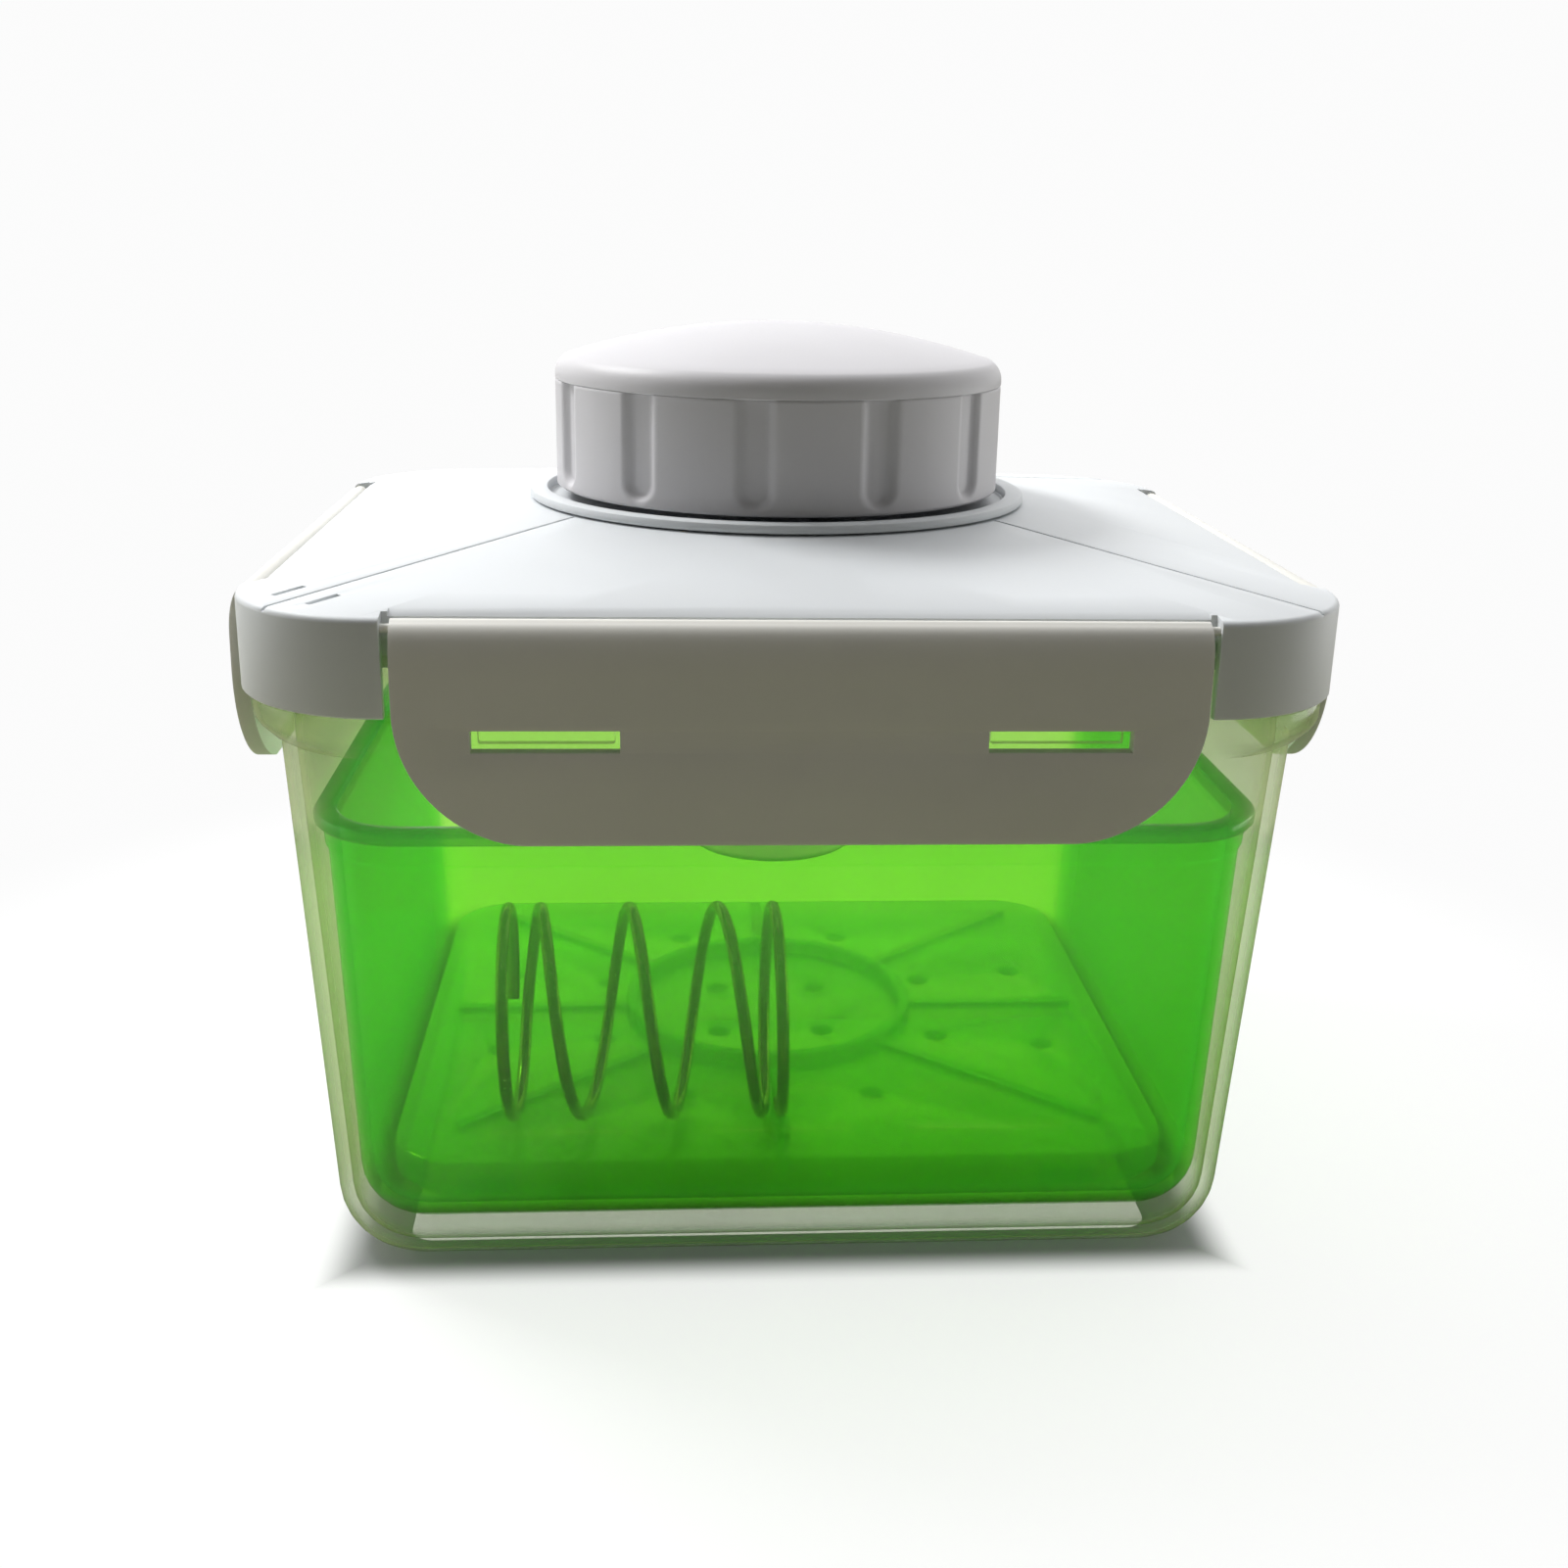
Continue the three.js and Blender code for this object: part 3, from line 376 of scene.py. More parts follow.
def zone(nodes, links, limits):
    """A mask over object space: the product of a ramp for each (axis, none, full), in mm."""
    sockets = axes(nodes, links)
    slopes = [
        ramp(nodes, links, sockets[axis], (none * MM, full * MM)) for axis, none, full in limits
    ]
    mask = slopes[0]
    for slope in slopes[1:]:
        mask = maths(nodes, links, "MULTIPLY", mask, slope)
    return mask


def clear_plastic(name, tint, milk, milkiness, absorb, zones=(), through=0.8):
    """Coloured see-through polypropylene.

    Light passes straight through with the tint, and the wall is milkier where it is seen
    edge on. milkiness is (face on, edge on), and absorb is a colour and its density. Each
    zone is (limits, milk colour, milkiness), where the plastic is thicker or clearer, or
    where shade is painted in as a darker milk. The share called through is the part of the
    milk's light that goes on through the wall.
    """
    material, nodes, links, surface = new_material(name)
    flow = noise(nodes, links, 26, 2, stretch=(1, 1, 0.35))
    grain = noise(nodes, links, 1900, 2)
    normal = bump(nodes, links, grain, 0.2, 0.02, bump(nodes, links, flow, 0.3, 0.1))
    layer = nodes.new("ShaderNodeLayerWeight")
    layer.inputs["Blend"].default_value = 0.5
    facing = layer.outputs["Facing"]

    cloud = tone(nodes, links, flow, [c * 0.94 for c in milk], milk)
    share = ramp(nodes, links, facing, MILKY_FACING, milkiness)
    for limits, colour, amount in zones:
        mask = zone(nodes, links, limits)
        # a zone's own milk colour: thicker or clearer plastic, or painted shade
        zone_tone_or_painted_shade = nodes.new("ShaderNodeMix")
        zone_tone_or_painted_shade.data_type = "RGBA"
        links.new(mask, zone_tone_or_painted_shade.inputs["Factor"])
        links.new(cloud, zone_tone_or_painted_shade.inputs[RGBA_A])
        zone_tone_or_painted_shade.inputs[RGBA_B].default_value = (*colour, 1)
        cloud = zone_tone_or_painted_shade.outputs[RGBA_RESULT]
        blend = nodes.new("ShaderNodeMix")
        links.new(mask, blend.inputs["Factor"])
        links.new(share, blend.inputs["A"])
        blend.inputs["B"].default_value = amount
        share = blend.outputs["Result"]

    straight = nodes.new("ShaderNodeBsdfTransparent")
    links.new(tone(nodes, links, flow, [c * 0.98 for c in tint], tint), straight.inputs["Color"])
    links.new(cloud, surface.inputs["Base Color"])
    rough = spread(nodes, links, grain, GLOSS_ROUGHNESS, GLOSS_ROUGHNESS + 0.1)
    links.new(rough, surface.inputs["Roughness"])
    links.new(normal, surface.inputs["Normal"])
    surface.inputs["IOR"].default_value = 1.45
    glow = nodes.new("ShaderNodeBsdfTranslucent")
    links.new(cloud, glow.inputs["Color"])
    links.new(normal, glow.inputs["Normal"])
    cloudy = mix_shaders(nodes, links, through, surface.outputs["BSDF"], glow.outputs["BSDF"])
    wall = mix_shaders(nodes, links, share, straight.outputs["BSDF"], cloudy)

    gloss = nodes.new("ShaderNodeBsdfGlossy")
    gloss.inputs["Roughness"].default_value = GLOSS_ROUGHNESS
    links.new(normal, gloss.inputs["Normal"])
    edge = maths(nodes, links, "POWER", facing, 5.0)
    shine = maths(nodes, links, "MULTIPLY_ADD", edge, 0.5, 0.035)
    polished = mix_shaders(nodes, links, shine, wall, gloss.outputs["BSDF"])

    depth = nodes.new("ShaderNodeVolumeAbsorption")
    depth.inputs["Color"].default_value = (*absorb[0], 1)
    depth.inputs["Density"].default_value = absorb[1]
    output = nodes["Material Output"]
    links.new(polished, output.inputs["Surface"])
    links.new(depth.outputs["Volume"], output.inputs["Volume"])
    return material


def drawn_steel(name, dark, light, roughness, stretch=(1, 1, 1)):
    """Stainless wire or turned steel with fine drawing lines."""
    material, nodes, links, surface = new_material(name)
    lines = noise(nodes, links, 2600, 3, 0.6, stretch)
    links.new(tone(nodes, links, lines, dark, light), surface.inputs["Base Color"])
    links.new(
        spread(nodes, links, lines, roughness - 0.05, roughness + 0.06),
        surface.inputs["Roughness"],
    )
    links.new(bump(nodes, links, lines, 0.15, 0.004), surface.inputs["Normal"])
    surface.inputs["Metallic"].default_value = 1.0
    return material


def soft_rubber(name, dark, light, roughness):
    material, nodes, links, surface = new_material(name)
    bloom = noise(nodes, links, 300, 4)
    links.new(tone(nodes, links, bloom, dark, light), surface.inputs["Base Color"])
    links.new(
        spread(nodes, links, bloom, roughness - 0.1, roughness + 0.08),
        surface.inputs["Roughness"],
    )
    links.new(bump(nodes, links, bloom, 0.3, 0.03), surface.inputs["Normal"])
    return material


LID_WHITE = moulded_white("lid_white", (0.71, 0.735, 0.75), 0.48)
LATCH_WHITE = moulded_white("latch_white", (0.76, 0.75, 0.70), 0.42)
KNOB_WHITE = moulded_white("knob_white", (0.64, 0.63, 0.65), 0.46)
FROSTED = clear_plastic(
    "tub_clear", (0.985, 0.99, 0.965), (0.66, 0.70, 0.40), (0.025, 0.72), ((0.64, 0.82, 0.08), 12),
    [([("Z", 4.5, 2.6)], (0.60, 0.66, 0.36), 0.06)],
)
BASKET_GREEN = clear_plastic(
    "basket_green", (0.84, 0.99, 0.56), (0.16, 0.92, 0.18), (0.10, 0.60), ((0.50, 0.96, 0.05), 240),
    [
        ([("Z", 75.4, 76.0)], (0.03, 0.45, 0.10), 0.60),
        # painted shade: the foot of the walls is a darker, milkier green, where shade falls between
        # basket and tub floor
        ([("Z", 14.5, 9), ("Z", 7.9, 8.6)], (0.02, 0.26, 0.03), 0.75),
    ],
)
PLATE_GREEN = clear_plastic(
    "plate_green", (0.88, 0.99, 0.68), (0.32, 0.94, 0.12), (0.32, 0.60), ((0.58, 0.96, 0.10), 130),
    [([("Z", 16.6, 17.2)], (0.14, 0.66, 0.05), 0.45)],
    through=0.3,
)
SPRING_STEEL = drawn_steel("spring_steel", (0.24, 0.24, 0.25), (0.31, 0.31, 0.32), 0.22)
BRIGHT_STEEL = drawn_steel("hardware_steel", (0.45, 0.45, 0.46), (0.62, 0.62, 0.62), 0.25)
SILICONE = soft_rubber("gasket_silicone", (0.72, 0.73, 0.71), (0.80, 0.81, 0.79), 0.55)
NITRILE = soft_rubber("seal_rubber", (0.015, 0.015, 0.017), (0.03, 0.03, 0.032), 0.5)
ACETAL = moulded_white("acetal", (0.82, 0.80, 0.74), 0.30)


# ---------------------------------------------------------------- tub
TUB_BASE = (75.0, 66.8, 15.0)     # half width, half depth and corner radius of the walls at z = 0
TUB_DRAFT = 0.0526
TUB_CORNER_GROWTH = 0.048
TUB_WALL = 2.2
TUB_FILLET = 11.0
FLANGE_CORNER = 19.6
FLANGE_OFFSET = 83.0
RIM_OFFSET = 80.0
LUG_HALF, LUG_Z = 9.85, (94.6, 96.9)
FRONT_LUG = (37.25, 72.6, 76.2)   # centre along the wall, and the inner and outer face
SIDE_LUG = (28.75, 81.1, 84.7)


def cup_ring(base, draft, growth, z, inset):
    half_x, half_y, radius = base
    return rounded(
        half_x + draft * z - inset,
        half_y + draft * z - inset,
        radius + growth * z - inset,
        z,
    )


def cup_fillet(base, draft, growth, inset, floor, fillet, steps=8):
    """Rings from the flat floor round the fillet to the foot of the wall."""
    rings = []
    for i in range(steps + 1):
        angle = math.pi / 2 * i / steps
        extra = fillet * (1 - math.sin(angle))
        z = floor + fillet * (1 - math.cos(angle))
        rings.append(cup_ring(base, draft, growth, z, inset + extra))
    return rings


def flange_ring(offset, z):
    return rounded(offset, offset - DEPTH_STEP, FLANGE_CORNER + offset - FLANGE_OFFSET, z)


def build_tub():
    top = top_of("container")
    wall = (TUB_BASE, TUB_DRAFT, TUB_CORNER_GROWTH)
    rings = cup_fillet(*wall, 0, 0, TUB_FILLET)
    rings += [cup_ring(*wall, z, 0) for z in (30, 50, 70, 89.5, 90.8)]
    rings += [
        flange_ring(80.4, 91.8),
        flange_ring(82.2, 93.6),
        flange_ring(82.8, 94.5),
        flange_ring(83.0, 95.2),
        flange_ring(83.0, 97.2),
        flange_ring(82.8, 97.8),
        flange_ring(82.3, 98.0),
        at_offset(RIM_OFFSET + 0.8, 98.0),
        at_offset(RIM_OFFSET + 0.2, 98.25),
        at_offset(RIM_OFFSET, 98.9),
        at_offset(RIM_OFFSET, top - 1.1),
        at_offset(RIM_OFFSET - 0.35, top - 0.35),
        at_offset(RIM_OFFSET - 1.1, top),
        at_offset(RIM_OFFSET - 1.5, top),
        at_offset(RIM_OFFSET - 2.1, top - 0.35),
        at_offset(RIM_OFFSET - 2.4, top - 1.1),
        at_offset(RIM_OFFSET - 2.4, 92.0),
    ]
    inside = [cup_ring(*wall, z, TUB_WALL) for z in (90.0, 70, 50, 30)]
    rings += inside
    rings += reversed(cup_fillet(*wall, TUB_WALL, TUB_WALL, TUB_FILLET - TUB_WALL))
    tub = loft("tub", rings)
    lugs = []
    for side in (-1, 1):
        for (middle, inner, outer), along_x in ((FRONT_LUG, True), (SIDE_LUG, False)):
            for centre in (-middle, middle):
                along = (centre - LUG_HALF, centre + LUG_HALF)
                across = sorted((side * inner, side * outer))
                x, y = (along, across) if along_x else (across, along)
                lugs.append(soften(block("lug", x, y, LUG_Z), 0.35))
    combine(tub, lugs, "UNION")
    smooth(tub)
    return swap_in(tub, "container", FROSTED, "tub")


# ---------------------------------------------------------------- strainer basket
BASKET_BASE = (71.46, 63.16, 12.0)
BASKET_DRAFT = 0.0338
BASKET_CORNER_GROWTH = 0.028
BASKET_WALL = 2.0
BASKET_FILLET = 8.5
BASKET_FLOOR = 6.0
BASKET_RIM_CORNER = 15.5
FOOT_X, FOOT_Y = (-52, 52), (-44, 44)
DRAIN_X, DRAIN_Y = (-40, 0, 40), (-32, -16, 0, 16, 32)


def slot_cutter(name, centre, length, width, z):
    """A slot with round ends, along X."""
    x, y = centre
    reach = (length - width) / 2
    outline = arc((x + reach, y), width / 2, -90, 90, 8)
    outline += arc((x - reach, y), width / 2, 90, 270, 8)
    return prism(name, outline, *z)


def build_basket():
    half_x, half_y = half_size("strainer_basket")
    top = top_of("strainer_basket")
    wall = (BASKET_BASE, BASKET_DRAFT, BASKET_CORNER_GROWTH)

    def rim(inset, z):
        return rounded(half_x - inset, half_y - inset, BASKET_RIM_CORNER - inset, z)

    rings = cup_fillet(*wall, 0, BASKET_FLOOR, BASKET_FILLET)
    rings += [cup_ring(*wall, z, 0) for z in (30, 50, 66, 71.6)]
    rings += [cup_ring(*wall, 72.2, -0.45), cup_ring(*wall, 75.0, -0.5)]
    rings += [
        rim(1.1, 75.6),
        rim(0.4, 75.7),
        rim(0.0, 76.2),
        rim(0.0, top - 0.7),
        rim(0.25, top - 0.2),
        rim(0.8, top),
        rim(3.2, top),
        rim(3.7, top - 0.25),
    ]
    rings += [cup_ring(*wall, z, BASKET_WALL) for z in (top - 1.0, 66, 50, 30)]
    fillet = cup_fillet(*wall, BASKET_WALL, BASKET_FLOOR + BASKET_WALL, BASKET_FILLET - BASKET_WALL)
    rings += reversed(fillet)
    basket = loft("basket", rings)
    foot_z = (bottom_of("strainer_basket"), BASKET_FLOOR + 0.6)
    feet = []
    for x in FOOT_X:
        for y in FOOT_Y:
            feet.append(soften(slot_cutter("foot", (x, y), 10, 4, foot_z), 0.5))
    combine(basket, feet, "UNION")
    slot_z = (BASKET_FLOOR - 1, BASKET_FLOOR + 3)
    slots = [slot_cutter("slot", (x, y), 30, 4, slot_z) for x in DRAIN_X for y in DRAIN_Y]
    combine(basket, [join_meshes("slots", slots)], "DIFFERENCE")
    smooth(basket)
    return swap_in(basket, "strainer_basket", BASKET_GREEN, "basket")


def join_meshes(name, pieces):
    """One mesh of several bodies that don't touch."""
    work = bmesh.new()
    for piece in pieces:
        work.from_mesh(piece.data)
        bpy.data.objects.remove(piece)
    mesh = bpy.data.meshes.new(name)
    work.to_mesh(mesh)
    work.free()
    joined = bpy.data.objects.new(name, mesh)
    bpy.context.scene.collection.objects.link(joined)
    return joined


# ---------------------------------------------------------------- press plate
PLATE_DECK, PLATE_SKIN, PLATE_CORNER = 16.5, 2.0, 12.0
RIB_TOP, RIB_WIDTH = 18.0, 2.2
RING_RADIUS, RING_HALF = 27.0, 1.1
HOLE_RADIUS = 2.2
HOLES = ((10, 10), (32, 13), (52, 17), (17, 36))    # in each quarter of the plate


def build_plate():
    half_x, half_y = half_size("press_plate")
    low, ring_top = bottom_of("press_plate"), top_of("press_plate")
    deck, skin = PLATE_DECK, PLATE_SKIN

    def ring(inset, z):
        return rounded(half_x - inset, half_y - inset, PLATE_CORNER - inset, z)

    rings = [
        ring(skin + 0.6, deck - skin),
        ring(skin, deck - skin - 0.6),
        ring(skin, low + 2.7),
        ring(skin + 2.4, low + 0.4),
        ring(skin + 2.2, low),
        ring(2.9, low),
        ring(2.4, low + 0.3),
        ring(0, low + 2.7),
        ring(0, deck - 1.2),
        ring(0.35, deck - 0.35),
        ring(1.2, deck),
    ]
    plate = loft("plate", rings)
    inner, outer = RING_RADIUS - RING_HALF, RING_RADIUS + RING_HALF
    spring_ring = turned("spring_ring", [
        (inner - 0.2, deck - 1), (outer + 0.2, deck - 1), (outer, ring_top - 0.5),
        (outer - 0.5, ring_top), (inner + 0.5, ring_top), (inner, ring_top - 0.5),
    ])
    spokes = [
        bar("rib", (-x, -y, deck), (x, y, deck), RIB_WIDTH, -1, RIB_TOP - deck)
        for x, y in ((61, 0), (0, 53), (56, -48), (56, 48))
    ]
    ribs = combine(spokes[0], spokes[1:], "UNION")
    inside = turned("inside", [
        (0, deck - 3), (RING_RADIUS, deck - 3), (RING_RADIUS, deck + 9), (0, deck + 9),
    ])
    combine(ribs, [inside], "DIFFERENCE")
    under = [
        block("rib", (-half_x + 1, half_x - 1), (-1, 1), (low + 2.7, deck - 1)),
        block("rib", (-1, 1), (-half_y + 1, half_y - 1), (low + 2.7, deck - 1)),
    ]
    combine(plate, [ribs, spring_ring, *under], "UNION")
    holes = []
    for x in (-1, 1):
        for y in (-1, 1):
            for along_x, along_y in HOLES:
                outline = arc((x * along_x, y * along_y), HOLE_RADIUS, 0, 345, 23)
                holes.append(prism("hole", outline, deck - 4, deck + 3))
    combine(plate, [join_meshes("holes", holes)], "DIFFERENCE")
    soften(plate, 0.25, 40, 2)
    return swap_in(plate, "press_plate", PLATE_GREEN, "plate")


# ---------------------------------------------------------------- spring
SPRING_RADIUS, SPRING_WIRE = 18.7, 1.05     # over the wire, and of the wire


def build_spring():
    low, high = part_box("compression_spring")
    length = (high.x - low.x) / MM
    centre = (low + high) / 2 / MM
    wire, radius = SPRING_WIRE, SPRING_RADIUS - SPRING_WIRE
    start, closed, opened, per_turn, sides = 0.2, 1.0, 2.8, 64, 14
    closed_pitch = 2 * wire + 0.3
    open_pitch = (length - 2 * wire - 2 * closed * closed_pitch) / opened
    turns = opened + 2 * closed
    blend = 0.16

    def pitch_at(turn):
        """The wire lies flat on the closed turns and climbs between them."""
        rise = min(max((turn - closed) / blend + 0.5, 0), 1)
        fall = min(max((turns - closed - turn) / blend + 0.5, 0), 1)
        share = min(rise, fall)
        share = share * share * (3 - 2 * share)
        return closed_pitch + (open_pitch - closed_pitch) * share

    steps = round(turns * per_turn)
    heights = [0.0]
    for i in range(steps):
        heights.append(heights[-1] + pitch_at((i + 0.5) / per_turn) / per_turn)
    scale = (length - 2 * wire) / heights[-1]
    path = []
    for i, height in enumerate(heights):
        angle = 2 * math.pi * (start + i / per_turn)
        along = centre.x - length / 2 + wire + height * scale
        y = centre.y + radius * math.sin(angle)
        z = centre.z - radius * math.cos(angle)
        path.append(Vector((along, y, z)))
    rings = []
    for i, point in enumerate(path):
        tangent = (path[min(i + 1, steps)] - path[max(i - 1, 0)]).normalized()
        outward = (point - Vector((point.x, centre.y, centre.z))).normalized()
        side = tangent.cross(outward).normalized()
        ring = []
        for k in range(sides):
            angle = 2 * math.pi * k / sides
            ring.append(point + wire * (math.cos(angle) * outward + math.sin(angle) * side))
        rings.append(ring)
    spring = loft("spring", rings)
    smooth(spring, 50)
    return swap_in(spring, "compression_spring", SPRING_STEEL, "spring")


# ---------------------------------------------------------------- lid shell
SEAT_RADIUS = 44.5
HIP_START, HIP_END = 77.8, 35.2
EDGE_Z, TOP_Z, ROOF = 113.0, 119.4, 2.4
FRONT_SPAN, SIDE_SPAN = 60.3, 51.8
SPAN_OFFSET = 81.85
HINGE_OFFSET, HINGE_Z = 83.6, 111.4
NECK_HOLE = 41.6
SKIRT_WALL = 2
EAR_LENGTH, EAR_BELOW = 3, 1.9
GROOVE_WIDTH, GROOVE_DEPTH = 0.7, 0.55
MARK_LENGTH, MARK_WIDTH, MARK_DEPTH = 5.5, 1.3, 0.8     # the short slots beside the left front hip
MARK_FROM_HIP, MARK_MIDDLE = 4.3, 72.5


def roof_ring(offset, z, straight=10):
    corners = at_offset(offset, z)
    points = []
    for i, point in enumerate(corners):
        points.append(point)
        if i % (CORNER_STEPS + 1) == CORNER_STEPS:
            after = corners[(i + 1) % len(corners)]
            for step in range(1, straight):
                points.append(tuple(Vector(point).lerp(Vector(after), step / straight)))
    return points


def seat_ring(ring, radius, z):
    """The round seat, point for point with the edge, with the corners led to the hip lines."""
    hip = math.atan2(HIP_END - DEPTH_STEP, HIP_END)
    points = []
    for x, y, _ in ring:
        side = min(1, abs(x) / HIP_START)
        front = min(1, abs(y) / (HIP_START - DEPTH_STEP))
        angle = hip * front if side == 1 else math.pi / 2 - (math.pi / 2 - hip) * side
        points.append((
            math.copysign(radius * math.cos(angle), x),
            math.copysign(radius * math.sin(angle), y),
            z,
        ))
    return points


def between(ring_a, ring_b, share):
    return [tuple(Vector(a).lerp(Vector(b), share)) for a, b in zip(ring_a, ring_b)]


def hip_and_slot_cutters():
    """The hairline on each hip, and the two short blind slots beside the left front one."""
    cutters = []
    for x in (-1, 1):
        for y in (-1, 1):
            outer = (x * HIP_START, y * (HIP_START - DEPTH_STEP), EDGE_Z)
            inner = (x * HIP_END, y * (HIP_END - DEPTH_STEP), TOP_Z)
            cutters.append(bar("hip", outer, inner, GROOVE_WIDTH, -GROOVE_DEPTH, 2))
    slope = (TOP_Z - EDGE_Z) / (HIP_START - HIP_END)
    aside, half = MARK_FROM_HIP / math.sqrt(2), MARK_LENGTH / 2 / math.sqrt(2)
    for side in (-1, 1):
        x = -MARK_MIDDLE - side * aside
        y = -(MARK_MIDDLE - DEPTH_STEP) + side * aside
        z = EDGE_Z + slope * (HIP_START - MARK_MIDDLE)
        outer = (x - half, y - half, z - slope * half)
        inner = (x + half, y + half, z + slope * half)
        cutters.append(bar("slot", outer, inner, MARK_WIDTH, -MARK_DEPTH, 2))
    return cutters


def band(name, inner, outer, z):
    low, high = z
    section = ((outer, low), (outer, high), (inner, high), (inner, low))
    return loft(name, [at_offset(*point) for point in section], closed_loop=True)


def side_prism(name, half, section):
    """A prism along X with a section of (outward, up), facing -Y."""
    count = len(section)
    points = [(x, -out, z) for x in (-half, half) for out, z in section]
    faces = [tuple(range(count)), tuple(reversed(range(count, 2 * count)))]
    faces += [(i, (i + 1) % count, count + (i + 1) % count, count + i) for i in range(count)]
    return mesh_object(name, points, faces)


def span_cutters(half, reach, quarter):
    """The gap that a latch fills, and a slope on its edge so that the roof runs into the latch."""
    far, low, high = reach + 8, bottom_of("lid_shell") - 2, TOP_Z + 1
    gap = side_prism("span", half, [(far, low), (far, high), (reach, high), (reach, low)])
    slope = side_prism("slope", half - 0.9, [
        (reach + 1, EDGE_Z - 0.85), (reach + 1, high + 1), (reach - 2.6, high + 1),
        (reach - 2.6, EDGE_Z + 1.3),
    ])
    spin = Matrix.Rotation(quarter * math.pi / 2, 4, "Z")
    return [place(gap, spin), place(slope, spin)]


def build_lid():
    edge = roof_ring(LID_OFFSET, 0)
    skirt = bottom_of("lid_shell")
    seat = seat_ring(edge, SEAT_RADIUS, TOP_Z)
    shoulder = roof_ring(LID_OFFSET - 0.9, EDGE_Z + 0.1)
    rings = [
        roof_ring(LID_OFFSET - 0.3, skirt),
        roof_ring(LID_OFFSET, skirt + 0.3),
        roof_ring(LID_OFFSET, EDGE_Z - 0.9),
        roof_ring(LID_OFFSET - 0.12, EDGE_Z - 0.45),
        roof_ring(LID_OFFSET - 0.45, EDGE_Z - 0.1),
        shoulder,
    ]
    rings += [between(shoulder, seat, share) for share in (0.25, 0.5, 0.75, 1.0)]
    rings += [seat_ring(edge, NECK_HOLE, TOP_Z), seat_ring(edge, NECK_HOLE, TOP_Z - ROOF)]
    inside_offset = LID_OFFSET - SKIRT_WALL
    inside_edge = roof_ring(inside_offset, EDGE_Z - ROOF)
    inside_seat = seat_ring(edge, SEAT_RADIUS, TOP_Z - ROOF)
    rings += [between(inside_seat, inside_edge, share) for share in (0.0, 0.5, 1.0)]
    rings += [roof_ring(inside_offset, skirt + 0.3), roof_ring(inside_offset + 0.3, skirt)]
    lid = loft("lid", rings, closed_loop=True)

    envelope = loft("envelope", [
        roof_ring(LID_OFFSET - 0.2, skirt + 1),
        roof_ring(LID_OFFSET - 0.2, EDGE_Z - 0.6),
        seat,
    ])
    walls = [
        band("wall", 75.5, 77.0, (104.0, TOP_Z - 1)),
        band("wall", 81.0, 81.85, (107.0, TOP_Z - 1)),
        band("wall", 76.0, 81.5, (110.8, TOP_Z - 1)),
    ]
    ear_z = (HINGE_Z - EAR_BELOW, EDGE_Z + 1)
    ears = []
    for end in (-1, 1):
        for face in (-1, 1):
            x = sorted((end * FRONT_SPAN, end * (FRONT_SPAN + EAR_LENGTH)))
            y = sorted((face * (SPAN_OFFSET - DEPTH_STEP), face * (LID_OFFSET + 1 - DEPTH_STEP)))
            ears.append(block("ear", x, y, ear_z))
            y = sorted((end * SIDE_SPAN, end * (SIDE_SPAN + EAR_LENGTH)))
            x = sorted((face * SPAN_OFFSET, face * (LID_OFFSET + 1)))
            ears.append(block("ear", x, y, ear_z))
    added = combine(walls[0], walls[1:] + ears, "UNION")
    combine(added, [envelope], "INTERSECT")
    combine(lid, [added], "UNION")

    spans = []
    for quarter in range(4):
        if quarter % 2 == 0:
            spans += span_cutters(FRONT_SPAN, SPAN_OFFSET - DEPTH_STEP, quarter)
        else:
            spans += span_cutters(SIDE_SPAN, SPAN_OFFSET, quarter)
    combine(lid, spans + hip_and_slot_cutters(), "DIFFERENCE")
    soften(lid, 0.22, 38, 2)
    return swap_in(lid, "lid_shell", LID_WHITE, "lid")


# ---------------------------------------------------------------- latches
FRONT_LATCH_HALF, SIDE_LATCH_HALF = 58.8, 50.3
LATCH_CORNER = 20.0
WINDOW_HALF, WINDOW_FROM_END, WINDOW_Z = 10.65, 10.9, (94.1, 97.4)
PIN_RADIUS, PIN_LENGTH = 0.65, 3.5


def latch_profile():
    """The side view of a latch, as (outward, up) from its hinge axis."""
    barrel, inner, bottom = 1.4, 1.5, bottom_of("front_latch") - HINGE_Z
    points = [(inner + 0.5, bottom), (inner + 2.2, bottom)]
    points += arc((inner + 2.1, bottom + 0.55), 0.6, -60, 0, 4)
    points += [(inner + 2.55, bottom + 12), (inner + 2.4, -12), (inner + 2.3, -6.4)]
    start, control, end = (inner + 2.3, -6.4), (inner + 2.05, 0.35), (0.87, 1.1)
    for i in range(1, 15):
        t = i / 14
        points.append(tuple(
            (1 - t) ** 2 * start[k] + 2 * t * (1 - t) * control[k] + t * t * end[k] for k in (0, 1)
        ))
    points += arc((0, 0), barrel, 52, 308, 26)[1:]
    points += [(inner, -1.9), (inner, -8), (inner, bottom + 0.5)]
    return points


